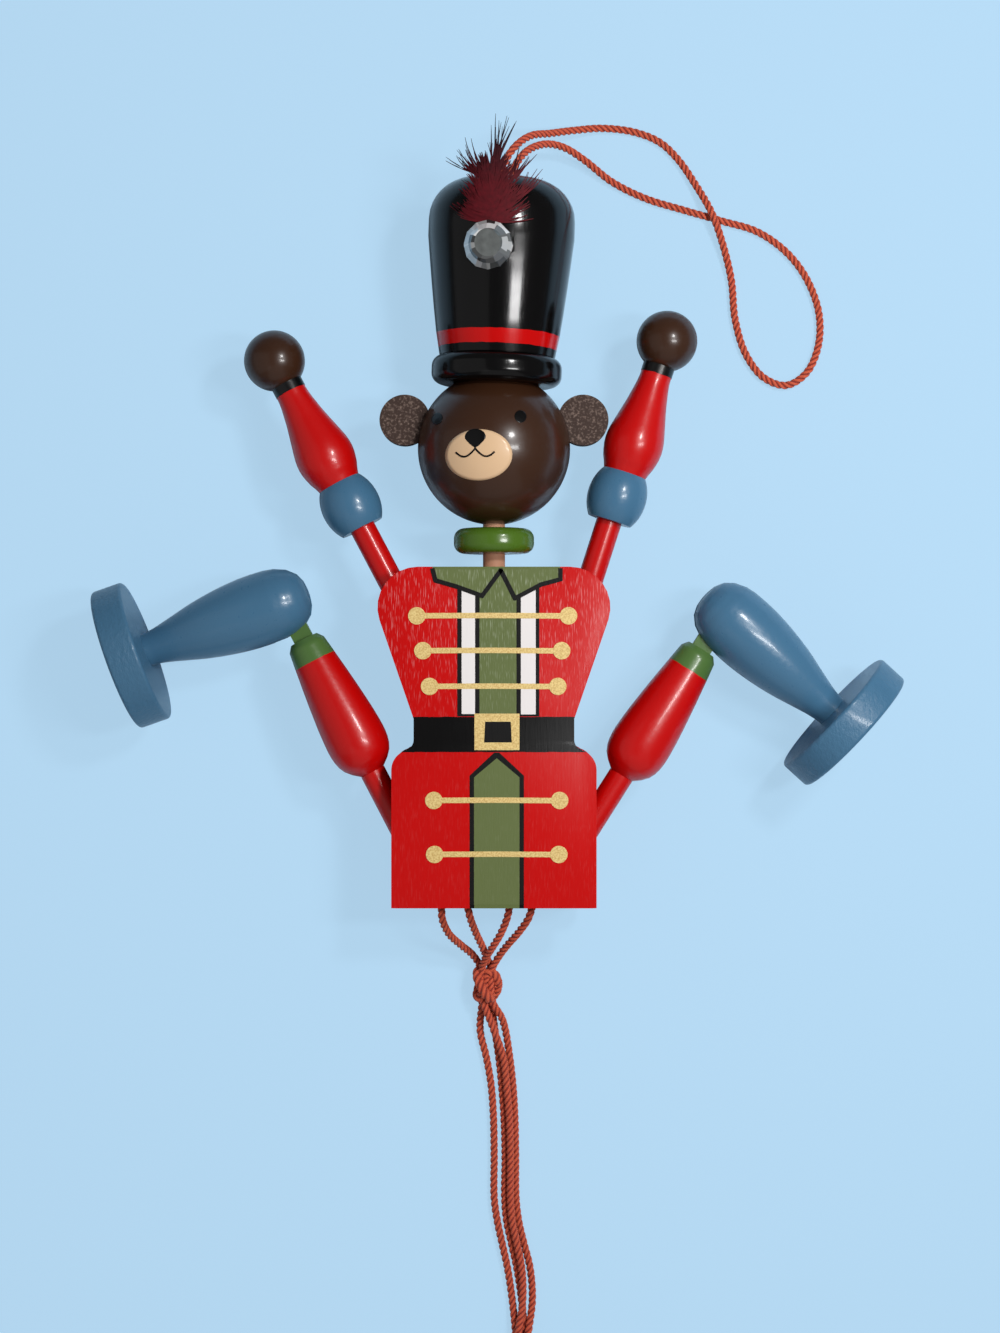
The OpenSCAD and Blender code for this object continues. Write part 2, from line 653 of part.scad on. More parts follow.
module left_leg_string() { limb_string(LEFT_LEG_STRING, hip_at(-1), left_leg_lean, -1); }
module right_leg_string() { limb_string(RIGHT_LEG_STRING, hip_at(1), right_leg_lean, 1); }
module pull_cord_a() { color("tomato") tube(PULL_A); }
module pull_cord_b() { color("tomato") tube(PULL_B); }
module pull_cord_c() { color("tomato") tube(PULL_C); }
module pull_cord_d() { color("tomato") tube(PULL_D); }
module pull_knot() { knot(knot_at, knot_d, knot_len); }
module end_knot() { knot(end_knot_at, end_knot_d, end_knot_len); }
module hanging_cord() { color("tomato") tube(HANGING); }

front_board();
back_board();
neck_block();
middle_block();
left_shoulder_pin();
right_shoulder_pin();
left_hip_pin();
right_hip_pin();
neck_dowel();
collar_bead();
head();
left_ear();
right_ear();
hat();
cut_stone();
feather();
left_arm_rod();
left_elbow_bead();
left_sleeve();
left_hand();
right_arm_rod();
right_elbow_bead();
right_sleeve();
right_hand();
left_thigh();
left_knee_pin();
left_shin();
left_foot();
right_thigh();
right_knee_pin();
right_shin();
right_foot();
left_arm_string();
right_arm_string();
left_leg_string();
right_leg_string();
pull_cord_a();
pull_cord_b();
pull_cord_c();
pull_cord_d();
pull_knot();
end_knot();
hanging_cord();
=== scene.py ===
"""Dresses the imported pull-string jumping jack: a painted wooden bear in a soldier's coat."""

from __future__ import annotations

import logging
import math
import random
from dataclasses import dataclass, field, replace
from enum import Enum

import bmesh
import bpy
from mathutils import Matrix, Vector
from mathutils.kdtree import KDTree

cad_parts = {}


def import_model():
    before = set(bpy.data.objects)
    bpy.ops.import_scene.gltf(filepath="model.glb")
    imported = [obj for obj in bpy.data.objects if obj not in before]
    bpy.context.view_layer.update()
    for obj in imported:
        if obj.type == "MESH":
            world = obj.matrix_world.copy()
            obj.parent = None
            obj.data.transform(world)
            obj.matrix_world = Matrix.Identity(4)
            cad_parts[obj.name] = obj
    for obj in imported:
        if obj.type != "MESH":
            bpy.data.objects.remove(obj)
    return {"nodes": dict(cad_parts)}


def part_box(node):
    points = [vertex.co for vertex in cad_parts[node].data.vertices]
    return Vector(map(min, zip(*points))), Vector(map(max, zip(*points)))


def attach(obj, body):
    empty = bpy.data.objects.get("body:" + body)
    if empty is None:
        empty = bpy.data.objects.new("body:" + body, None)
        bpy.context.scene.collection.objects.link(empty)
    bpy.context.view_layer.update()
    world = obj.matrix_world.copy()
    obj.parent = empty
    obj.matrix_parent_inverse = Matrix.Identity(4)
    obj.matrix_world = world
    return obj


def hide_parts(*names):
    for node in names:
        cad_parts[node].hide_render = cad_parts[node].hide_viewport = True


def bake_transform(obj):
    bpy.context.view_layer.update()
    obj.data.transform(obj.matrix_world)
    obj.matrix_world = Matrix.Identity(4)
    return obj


LOG = logging.getLogger("jumping_jack")
MM = 0.001
SIDES = (("left", -1), ("right", 1))
NODES: dict[str, bpy.types.Object] = {}
Flat = tuple[float, float]
Place = tuple[float, float, float]


def per_metre(size: float) -> float:
    """Gives the scale of a noise whose features are so wide, in millimetres."""
    return 1 / (size * MM)


class Colour(Enum):
    """The paints and threads of the toy, as sRGB hex colours."""

    COAT = "#cb0706"
    LIMB_RED = "#c40504"
    TROUSER_BLUE = "#44708f"
    PLACKET_GREEN = "#667243"
    COLLAR_GREEN = "#4b6c1c"
    KNEE_GREEN = "#4f7038"
    BEAR_BROWN = "#3a2214"
    EAR_BROWN = "#3b2820"
    MUZZLE = "#e0bb93"
    BLACK = "#070606"
    WHITE = "#eee8e6"
    GOLD = "#eace88"
    CORD = "#d45638"
    FEATHER = "#3c060d"
    FEATHER_PALE = "#680d1a"
    FEATHER_DARK = "#1d0a12"
    STONE_DARK = "#3f4241"
    STONE_PALE = "#7b7f7d"
    FACET_PAINTED_DARK = "#2c2e2e"
    FACET_PAINTED_GLINT = "#f6f7f6"
    NECK_WOOD = "#b8876a"
    BARE_WOOD = "#c9a173"
    WORN_WOOD = "#b39a8c"
    FLOOR = "#b8dcf6"


class Grain(Enum):
    """How a surface runs, as the sizes of its features along x, y and z, in millimetres.

    A wood's pores are less than 0.1 mm wide, too fine to show, so they are drawn several times as wide.
    """

    ALONG_Y = (0.3846, 6.667, 0.3846)  # a sawn board's fibres
    DASHES = (0.2439, 2.5, 0.2439)  # where a dry brush skipped the fibres, and painted glints of the grain
    BRUSHED = (0.9091, 1.4286, 0.9091)  # thick paint, in a brush's short strokes
    FINE = (1.1111, 1.1111, 1.1111)  # the soft peel of dipped paint
    ROUGH = (0.3125, 0.3125, 0.3125)  # the pores of end grain

    def scale(self) -> Place:
        """Gives the noise's scale along each axis."""
        return tuple(per_metre(size) for size in self.value)


def linear(colour: Colour, gains: Place = (1.0, 1.0, 1.0)) -> tuple[float, float, float, float]:
    """Converts an sRGB hex colour to the linear colour that Blender's sockets take.

    Args:
        colour: The colour.
        gains: What its linear red, green and blue are multiplied by.

    Returns:
        Red, green, blue and an alpha of 1.
    """
    parts = [int(colour.value[i : i + 2], 16) / 255 for i in (1, 3, 5)]
    straight = [c / 12.92 if c <= 0.04045 else ((c + 0.055) / 1.055) ** 2.4 for c in parts]
    return (*(min(1.0, c * gain) for c, gain in zip(straight, gains)), 1.0)


def add_node(tree: bpy.types.NodeTree, kind: str, inputs: dict | None = None, **settings: object) -> bpy.types.Node:
    """Adds one shader node.

    Args:
        tree: The node tree.
        kind: The node's type name, without its ShaderNode prefix.
        inputs: Values, sockets, or nodes whose first output is meant, for the inputs by name or number.
        **settings: The node's own properties.

    Returns:
        The new node.
    """
    node = tree.nodes.new("ShaderNode" + kind)
    for key, value in settings.items():
        setattr(node, key, value)
    for key, value in (inputs or {}).items():
        if isinstance(value, bpy.types.Node):
            value = value.outputs[0]
        if isinstance(value, bpy.types.NodeSocket):
            tree.links.new(value, node.inputs[key])
        else:
            node.inputs[key].default_value = value
    return node


def blank(name: str) -> tuple[bpy.types.Material, bpy.types.NodeTree, bpy.types.NodeSocket]:
    """Starts a material.

    Args:
        name: The material's name.

    Returns:
        The material, its node tree and the point's place in Object coordinates.
    """
    material = bpy.data.materials.new(name)
    material.use_nodes = True
    tree = material.node_tree
    tree.nodes.clear()
    return material, tree, add_node(tree, "TexCoord").outputs["Object"]


def surfaced(material: bpy.types.Material, inputs: dict) -> bpy.types.Material:
    """Ends a material with its shader.

    Args:
        material: The material.
        inputs: The shader's inputs by name.

    Returns:
        The same material.
    """
    tree = material.node_tree
    add_node(tree, "OutputMaterial", {"Surface": add_node(tree, "BsdfPrincipled", inputs)})
    return material


@dataclass(frozen=True)
class Band:
    """A stretch along a direction of the frame, in millimetres."""

    along: Place
    low: float
    high: float

    def mask(self, tree: bpy.types.NodeTree, place: bpy.types.NodeSocket) -> bpy.types.Node:
        """Builds the test that is 1 within the band.

        Args:
            tree: The material's node tree.
            place: The point's place.

        Returns:
            The test's node.
        """
        reach = add_node(tree, "VectorMath", {0: place, 1: self.along}, operation="DOT_PRODUCT").outputs["Value"]
        above = add_node(tree, "Math", {0: reach, 1: self.low * MM}, operation="GREATER_THAN")
        below = add_node(tree, "Math", {0: reach, 1: self.high * MM}, operation="LESS_THAN")
        return add_node(tree, "Math", {0: above, 1: below}, operation="MULTIPLY")


@dataclass(frozen=True)
class Region:
    """A part of a piece that is painted another colour: where all its bands meet."""

    colour: Colour
    bands: tuple[Band, ...]


@dataclass(frozen=True)
class Paint:
    """Enamel on wood: clear glints on a slightly uneven colour, with the grain's relief below them.

    Sizes are in millimetres, and the other numbers are shares.
    """

    name: str
    colour: Colour
    roughness: float = 0.3
    coat: float = 0.25
    gloss: float = 0.3
    grain: Grain = Grain.FINE
    relief: float = 0.25
    depth: float = 0.06
    mottling: float = 0.16
    specks: float = 0.0
    flecks_and_painted_glints: float = 0.0
    fleck_and_glint_lift: float = 1.55
    wobble: float = 0.12
    regions: tuple[Region, ...] = ()

    def build(self) -> bpy.types.Material:
        """Builds the material.

        Returns:
            The new material.
        """
        material, tree, place = blank(self.name)
        stretched = add_node(tree, "Mapping", {"Vector": place, "Scale": self.grain.scale()})
        fibres = add_node(tree, "TexNoise", {"Vector": stretched, "Scale": 1.0, "Detail": 4.0, "Roughness": 0.6})
        # The enamel pools in clouds about 9 mm wide, and is darker where it is thick.
        clouds = add_node(tree, "TexNoise", {"Vector": place, "Scale": per_metre(9.091), "Detail": 3.0})
        colour = self._regional(tree, place)
        deep = add_node(tree, "HueSaturation", {"Color": colour, "Value": 0.72})
        uneven = add_node(tree, "Math", {0: clouds, 1: fibres}, operation="MULTIPLY")
        amount = add_node(tree, "Math", {0: uneven, 1: self.mottling * 2.4}, operation="MULTIPLY")
        colour = add_node(tree, "Mix", {0: amount, 6: colour, 7: deep}, data_type="RGBA").outputs[2]
        if self.specks:
            # Bare pores of 0.6 mm, about the smallest that show.
            pores = add_node(tree, "TexNoise", {"Vector": place, "Scale": per_metre(0.5882), "Detail": 2.0})
            limits = {"Value": pores, "From Min": 0.5, "From Max": 0.75, "To Max": self.specks}
            worn = {0: add_node(tree, "MapRange", limits), 6: colour, 7: linear(Colour.WORN_WOOD)}
            colour = add_node(tree, "Mix", worn, data_type="RGBA").outputs[2]
        if self.flecks_and_painted_glints:
            colour = self._flecked_with_painted_glints(tree, place, colour)
        limits = {"Value": fibres, "To Min": self.roughness - 0.06, "To Max": self.roughness + 0.1}
        bump = {"Strength": self.relief, "Distance": self.depth * MM, "Height": fibres}
        shader = {
            "Base Color": colour,
            "Roughness": add_node(tree, "MapRange", limits),
            "Specular IOR Level": self.gloss,
            "Coat Weight": self.coat,
            "Coat Roughness": 0.12,
            "Normal": add_node(tree, "Bump", bump),
        }
        return surfaced(material, shader)

    def _flecked_with_painted_glints(
        self, tree: bpy.types.NodeTree, place: bpy.types.NodeSocket, colour: bpy.types.NodeSocket
    ) -> bpy.types.NodeSocket:
        """Pales the paint in dashes where the brush skipped the grain, and as painted glints, mostly on the chest.

        Args:
            tree: The material's node tree.
            place: The point's place.
            colour: The paint's colour.

        Returns:
            The colour's socket.
        """
        dashed = add_node(tree, "Mapping", {"Vector": place, "Scale": Grain.DASHES.scale()})
        dashes = add_node(tree, "TexNoise", {"Vector": dashed, "Scale": 1.0, "Detail": 1.0})
        limits = {"Value": dashes, "From Min": 0.56, "From Max": 0.76, "To Max": self.flecks_and_painted_glints}
        bare = add_node(tree, "MapRange", limits)
        # Painted highlight: the dashes grow paler from the belt up to the top of the chest.
        up = add_node(tree, "SeparateXYZ", {0: place}).outputs[1]
        limits = {"Value": up, "From Min": -56 * MM, "From Max": -22 * MM, "To Min": 0.1, "To Max": 1.0}
        fade = add_node(tree, "MapRange", limits)
        share = add_node(tree, "Math", {0: bare, 1: fade}, operation="MULTIPLY")
        # Paler, greyer paint: partly thin paint, partly painted glints of the grain.
        worn = add_node(tree, "HueSaturation", {"Color": colour, "Saturation": 0.5, "Value": self.fleck_and_glint_lift})
        return add_node(tree, "Mix", {0: share, 6: colour, 7: worn.outputs[0]}, data_type="RGBA").outputs[2]

    def _regional(self, tree: bpy.types.NodeTree, place: bpy.types.NodeSocket) -> tuple | bpy.types.NodeSocket:
        """Lays each region's colour over the ground colour, with edges as unsteady as a hand's.

        Args:
            tree: The material's node tree.
            place: The point's place.

        Returns:
            The colour, as a value or a socket.
        """
        colour = linear(self.colour)
        if not self.regions:
            return colour
        # The hand wavers every 2.4 mm or so.
        hand = add_node(tree, "TexNoise", {"Vector": place, "Scale": per_metre(2.381), "Detail": 1.0}).outputs["Color"]
        centred = add_node(tree, "VectorMath", {0: hand, 1: (0.5, 0.5, 0.5)}, operation="SUBTRACT")
        shift = add_node(tree, "VectorMath", {0: centred, "Scale": self.wobble * MM * 4}, operation="SCALE")
        moved = add_node(tree, "VectorMath", {0: place, 1: shift}, operation="ADD").outputs[0]
        for region in self.regions:
            mask = 1.0
            for band in region.bands:
                mask = add_node(tree, "Math", {0: mask, 1: band.mask(tree, moved)}, operation="MULTIPLY")
            over = {0: mask, 6: colour, 7: linear(region.colour)}
            colour = add_node(tree, "Mix", over, data_type="RGBA").outputs[2]
        return colour


@dataclass(frozen=True)
class GoldPaint:
    """Bronze powder in varnish, brushed on thinly: a pale, grainy gold with little shine."""

    name: str = "bronze_powder_paint"

    def build(self) -> bpy.types.Material:
        """Builds the material.

        Returns:
            The new material.
        """
        material, tree, place = blank(self.name)
        # The powder's grains are drawn 0.4 mm wide, which is as fine as shows.
        powder = add_node(tree, "TexNoise", {"Vector": place, "Scale": per_metre(0.4167), "Detail": 3.0})
        stretched = add_node(tree, "Mapping", {"Vector": place, "Scale": Grain.ALONG_Y.scale()})
        fibres = add_node(tree, "TexNoise", {"Vector": stretched, "Scale": 1.0, "Detail": 3.0})
        thick = add_node(tree, "MapRange", {"Value": powder, "From Min": 0.3, "From Max": 0.6})
        shades = {0: thick, 6: linear(Colour.GOLD, (0.7, 0.58, 0.42)), 7: linear(Colour.GOLD)}
        colour = add_node(tree, "Mix", shades, data_type="RGBA").outputs[2]
        relief = add_node(tree, "Bump", {"Strength": 0.4, "Distance": 0.06 * MM, "Height": fibres})
        return surfaced(material, {"Base Color": colour, "Metallic": 0.15, "Roughness": 0.45, "Normal": relief})


@dataclass(frozen=True)
class Thread:
    """Twisted cord of many fine fibres: dull, with painted shade darkening the grooves between pale strands."""

    name: str = "twisted_cotton"
    colour: Colour = Colour.CORD

    def build(self) -> bpy.types.Material:
        """Builds the material.

        Returns:
            The new material.
        """
        material, tree, place = blank(self.name)
        # The fibres are drawn 0.45 mm apart, which is as fine as shows, and the wear in clouds of 11 mm.
        fuzz = add_node(tree, "TexNoise", {"Vector": place, "Scale": per_metre(0.4545), "Detail": 4.0})
        worn = add_node(tree, "TexNoise", {"Vector": place, "Scale": per_metre(11.11), "Detail": 2.0})
        # Painted shade: where a point sinks into a groove between strands, its colour darkens towards deep.
        strand = add_node(tree, "Attribute", attribute_name="strand").outputs["Fac"]
        groove = add_node(tree, "MapRange", {"Value": strand, "From Min": 0.15, "From Max": 0.8})
        dark, pale, deep = (linear(self.colour, g) for g in ((0.45, 0.3, 0.35), (1.35, 1.9, 1.7), (0.36, 0.2, 0.24)))
        colour = add_node(tree, "Mix", {0: fuzz, 6: dark, 7: pale}, data_type="RGBA").outputs[2]
        colour = add_node(tree, "Mix", {0: worn, 6: colour, 7: linear(self.colour)}, data_type="RGBA").outputs[2]
        colour = add_node(tree, "Mix", {0: groove, 6: deep, 7: colour}, data_type="RGBA").outputs[2]
        relief = add_node(tree, "Bump", {"Strength": 0.6, "Distance": 0.12 * MM, "Height": fuzz})
        return surfaced(material, {"Base Color": colour, "Roughness": 0.78, "Sheen Weight": 0.08, "Normal": relief})


@dataclass(frozen=True)
class FoiledStone:
    """A cut stone of clear plastic over silver foil, with painted reflections: facets pale and dark by turns."""

    centre: Flat
    radius: float
    name: str = "foiled_plastic"
    facets: tuple = ((0.56, 8), (0.8, 16))

    def build(self) -> bpy.types.Material:
        """Builds the material.

        Returns:
            The new material.
        """
        material, tree, place = blank(self.name)
        middle = {0: place, 1: (*self.centre, 0.0)}
        from_middle = add_node(tree, "VectorMath", middle, operation="SUBTRACT")
        flat = add_node(tree, "VectorMath", {0: from_middle, 1: (1.0, 1.0, 0.0)}, operation="MULTIPLY")
        reach = add_node(tree, "VectorMath", {0: flat}, operation="LENGTH").outputs["Value"]
        parts = add_node(tree, "SeparateXYZ", {0: flat}).outputs
        turn = add_node(tree, "Math", {0: parts[1], 1: parts[0]}, operation="ARCTAN2")
        # The foil has dull patches about 2.4 mm wide.
        smudge = add_node(tree, "TexNoise", {"Vector": place, "Scale": per_metre(2.381), "Detail": 3.0})
        shades = {0: smudge, 6: linear(Colour.STONE_DARK), 7: linear(Colour.STONE_PALE)}
        colour = add_node(tree, "Mix", shades, data_type="RGBA").outputs[2]
        # Painted reflections: each facet of a ring is painted a glint or a dark reflection at random.
        for start, count in self.facets:
            round_ring = add_node(tree, "Math", {0: turn, 1: count / math.tau}, operation="MULTIPLY")
            facet = add_node(tree, "Math", {0: round_ring, 1: start}, operation="ADD")
            whole = add_node(tree, "Math", {0: facet}, operation="FLOOR")
            chance = add_node(tree, "TexWhiteNoise", {"W": whole}, noise_dimensions="1D").outputs["Value"]
            shades = {0: chance, 6: linear(Colour.FACET_PAINTED_DARK), 7: linear(Colour.FACET_PAINTED_GLINT)}
            painted_facet_reflection = add_node(tree, "Mix", shades, data_type="RGBA").outputs[2]
            past = add_node(tree, "Math", {0: reach, 1: start * self.radius}, operation="GREATER_THAN")
            colour = add_node(tree, "Mix", {0: past, 6: colour, 7: painted_facet_reflection}, data_type="RGBA").outputs[2]
        shine = {"Metallic": 0.2, "Roughness": 0.1, "Coat Weight": 0.6, "Coat Roughness": 0.03}
        return surfaced(material, {"Base Color": colour, **shine})


@dataclass(frozen=True)
class Plumage:
    """Dyed feather: dull and soft, and darker towards the ends of its barbs."""

    name: str = "dyed_feather"
    fade: Flat = (80.0, 92.0)

    def build(self) -> bpy.types.Material:
        """Builds the material.

        Returns:
            The new material.
        """
        material, tree, place = blank(self.name)
        # The barbs are finer than shows, so their stripes are drawn 1.1 mm wide.
        stripes = add_node(tree, "TexNoise", {"Vector": place, "Scale": per_metre(1.1111), "Detail": 3.0})
        up = add_node(tree, "SeparateXYZ", {0: place}).outputs[1]
        low, high = self.fade
        tips = add_node(tree, "MapRange", {"Value": up, "From Min": low * MM, "From Max": high * MM})
        shades = {0: stripes, 6: linear(Colour.FEATHER), 7: linear(Colour.FEATHER_PALE)}
        base = add_node(tree, "Mix", shades, data_type="RGBA").outputs[2]
        shades = {0: tips, 6: base, 7: linear(Colour.FEATHER_DARK)}
        colour = add_node(tree, "Mix", shades, data_type="RGBA").outputs[2]
        return surfaced(material, {"Base Color": colour, "Roughness": 0.7, "Specular IOR Level": 0.2})


def mm(*values: float) -> Vector:
    """Gives a place in metres from its three values in millimetres."""
    return Vector(values) * MM


def new_piece(name: str, mesh: bpy.types.Mesh, material: bpy.types.Material, smooth: bool = True) -> bpy.types.Object:
    """Makes an object of a finished mesh, with its place in the mesh.

    Args:
        name: The piece's name.
        mesh: Its mesh.
        material: Its finish.
        smooth: Whether its faces are shaded smooth.

    Returns:
        The new object.
    """
    mesh.name = name
    mesh.materials.clear()
    mesh.materials.append(material)
    mesh.polygons.foreach_set("use_smooth", [smooth] * len(mesh.polygons))
    piece = bpy.data.objects.new(name, mesh)
    bpy.context.scene.collection.objects.link(piece)
    return piece


def settled(piece: bpy.types.Object, body: str = "", node: str = "") -> bpy.types.Object:
    """Says what a piece belongs to.

    Args:
        piece: The piece.
        body: The body that it rides, unless it is blended.
        node: The CAD node that it stands for, if any.

    Returns:
        The same piece.
    """
    if body:
        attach(piece, body)
    if node:
        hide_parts(node)
    return piece


def mesh_from(bm: bmesh.types.BMesh, name: str) -> bpy.types.Mesh:
    """Closes a bmesh into a mesh with its faces turned outwards.

    Args:
        bm: The bmesh, which is freed.
        name: The mesh's name.

    Returns:
        The new mesh.
    """
    bmesh.ops.remove_doubles(bm, verts=bm.verts, dist=0.002 * MM)
    bmesh.ops.recalc_face_normals(bm, faces=bm.faces)
    mesh = bpy.data.meshes.new(name)
    bm.to_mesh(mesh)
    bm.free()
    return mesh


def film(name: str, outline: list[Flat], low: float, thick: float, material: bpy.types.Material) -> bpy.types.Object:
    """Makes a flat film of paint.

    Args:
        name: The piece's name.
        outline: Its outline, in millimetres.
        low: The height of its lower face, in millimetres.
        thick: Its thickness, in millimetres.
        material: Its finish.

    Returns:
        The new object.
    """
    bm = bmesh.new()
    bmesh.ops.contextual_create(bm, geom=[bm.verts.new(mm(x, y, low)) for x, y in outline])
    raised = bmesh.ops.extrude_face_region(bm, geom=bm.faces[:])["geom"]
    moved = [part for part in raised if isinstance(part, bmesh.types.BMVert)]
    bmesh.ops.translate(bm, verts=moved, vec=mm(0, 0, thick))
    return new_piece(name, mesh_from(bm, name), material, smooth=False)


def stroke(points: list[Flat], width: float) -> list[Flat]:
    """Gives the outline of a brush stroke of even width.

    Args:
        points: The line that its middle follows, in millimetres.
        width: Its width, in millimetres.

    Returns:
        The outline's points.
    """
    left, right = [], []
    for i, point in enumerate(points):
        here = Vector(point)
        before = (here - Vector(points[i - 1])).normalized() if i else None
        after = (Vector(points[i + 1]) - here).normalized() if i + 1 < len(points) else None
        way = ((before or after) + (after or before)).normalized()
        side = Vector((-way.y, way.x))
        corner = side.dot(Vector((-(after or before).y, (after or before).x)))
        reach = side * (width / 2 / max(corner, 0.4))
        left.append(tuple(here + reach))
        right.append(tuple(here - reach))
    return left + right[::-1]


def circle(x: float, y: float, radius: float, points: int = 28) -> list[Flat]:
    """Gives the outline of a round dab, in millimetres."""
    turns = [math.tau * i / points for i in range(points)]
    return [(x + radius * math.cos(a), y + radius * math.sin(a)) for a in turns]


def rectangle(x0: float, x1: float, y0: float, y1: float) -> list[Flat]:
    """Gives the outline of a rectangle, in millimetres."""
    return [(x0, y0), (x1, y0), (x1, y1), (x0, y1)]


def smoothed(route: tuple[Place, ...], step: float) -> list[Vector]:
    """Runs a smooth curve through a route's points.

    Args:
        route: The points, in millimetres.
        step: The distance between the curve's points, in millimetres.

    Returns:
        The curve's points, in metres.
    """
    points = [Vector(p) for p in route]
    padded = [points[0] * 2 - points[1]] + points + [points[-1] * 2 - points[-2]]
    curve = []
    for a, b, c, d in zip(padded, padded[1:], padded[2:], padded[3:]):
        ab, bc, cd = (max((q - p).length, 1e-6) ** 0.5 for p, q in ((a, b), (b, c), (c, d)))
        leave = (c - b) + bc * ((b - a) / ab - (c - a) / (ab + bc))
        arrive = (c - b) + bc * ((d - c) / cd - (d - b) / (bc + cd))
        count = max(2, round((c - b).length / step))
        for i in range(count):
            t = i / count
            curve.append(
                b * (2 * t**3 - 3 * t**2 + 1)
                + leave * (t**3 - 2 * t**2 + t)
                + c * (3 * t**2 - 2 * t**3)
                + arrive * (t**3 - t**2)
            )
    curve.append(points[-1])
    return [p * MM for p in curve]


def new_line(name: str, points: list[Vector], flat: bool = False) -> bpy.types.Object:
    """Makes a curve object of straight stretches.

    Args:
        name: The curve's name.
        points: Its points, in metres.
        flat: Whether it is a flat closed outline.

    Returns:
        The curve object.
    """
    curve = bpy.data.curves.new(name, "CURVE")
    curve.dimensions = "2D" if flat else "3D"
    spline = curve.splines.new("POLY")
    spline.points.add(len(points) - 1)
    for target, place in zip(spline.points, points):
        target.co = (*place, 1.0)
    spline.use_cyclic_u = flat
    line = bpy.data.objects.new(name, curve)
    bpy.context.scene.collection.objects.link(line)
    return line


def swept(line: bpy.types.Object) -> bpy.types.Mesh:
    """Turns a curve with a bevel into a closed mesh.

    Args:
        line: The curve object, which is removed with the section that it uses.

    Returns:
        The mesh.
    """
    line.data.use_fill_caps = True
    made = bpy.data.meshes.new_from_object(line.evaluated_get(bpy.context.evaluated_depsgraph_get()))
    bm = bmesh.new()
    bm.from_mesh(made)
    name = line.name
    for used in filter(None, (line, line.data.bevel_object)):
        bpy.data.curves.remove(used.data)
    bpy.data.meshes.remove(made)
    return mesh_from(bm, name)


@dataclass(frozen=True)
class Yarn:
    """The lay of a cord of three twisted strands, in millimetres."""

    radius: float = 1.0
    strands: int = 3
    lay: float = 4.8
    groove: float = 0.32
    around: int = 24
    step: float = 0.45

    def profile(self) -> bpy.types.Object:
        """Makes the cord's cross section, which the sweep follows.

        Returns:
            The cross section, as a closed curve object.
        """
        points = []
        for i in range(self.around):
            turn = math.tau * i / self.around
            reach = self.radius * MM * (1 - self.groove * (0.5 + 0.5 * math.cos(self.strands * turn)) ** 2)
            points.append(Vector((reach * math.cos(turn), reach * math.sin(turn), 0.0)))
        return new_line("cord_section", points, flat=True)

    def sweep(self, name: str, path: list[Vector], material: bpy.types.Material) -> bpy.types.Object:
        """Sweeps the twisted cross section along a path.

        Args:
            name: The piece's name.
            path: The points of its middle line, in metres.
            material: Its finish.

        Returns:
            The cord, as a mesh object.
        """
        line = new_line(name, path)
        line.data.twist_mode = "MINIMUM"
        line.data.bevel_mode = "OBJECT"
        line.data.bevel_object = self.profile()
        run = 0.0
        for i, point in enumerate(line.data.splines[0].points):
            run += (path[i] - path[i - 1]).length if i else 0.0
            point.tilt = math.tau * run / (self.lay * MM)
        piece = new_piece(name, swept(line), material)
        self._mark_strands(piece.data, path)
        return piece

    def _mark_strands(self, mesh: bpy.types.Mesh, path: list[Vector]) -> None:
        """Writes how far each point stands out of the grooves between the strands, from 0 to 1.

        Args:
            mesh: The cord's mesh.
            path: The points of its middle line, in metres.
        """
        tree = KDTree(len(path))
        for i, place in enumerate(path):
            tree.insert(place, i)
        tree.balance()
        deep = self.radius * MM * self.groove
        crown = [1 - (self.radius * MM - tree.find(vert.co)[2]) / deep for vert in mesh.vertices]
        mesh.attributes.new("strand", "FLOAT", "POINT").data.foreach_set("value", crown)


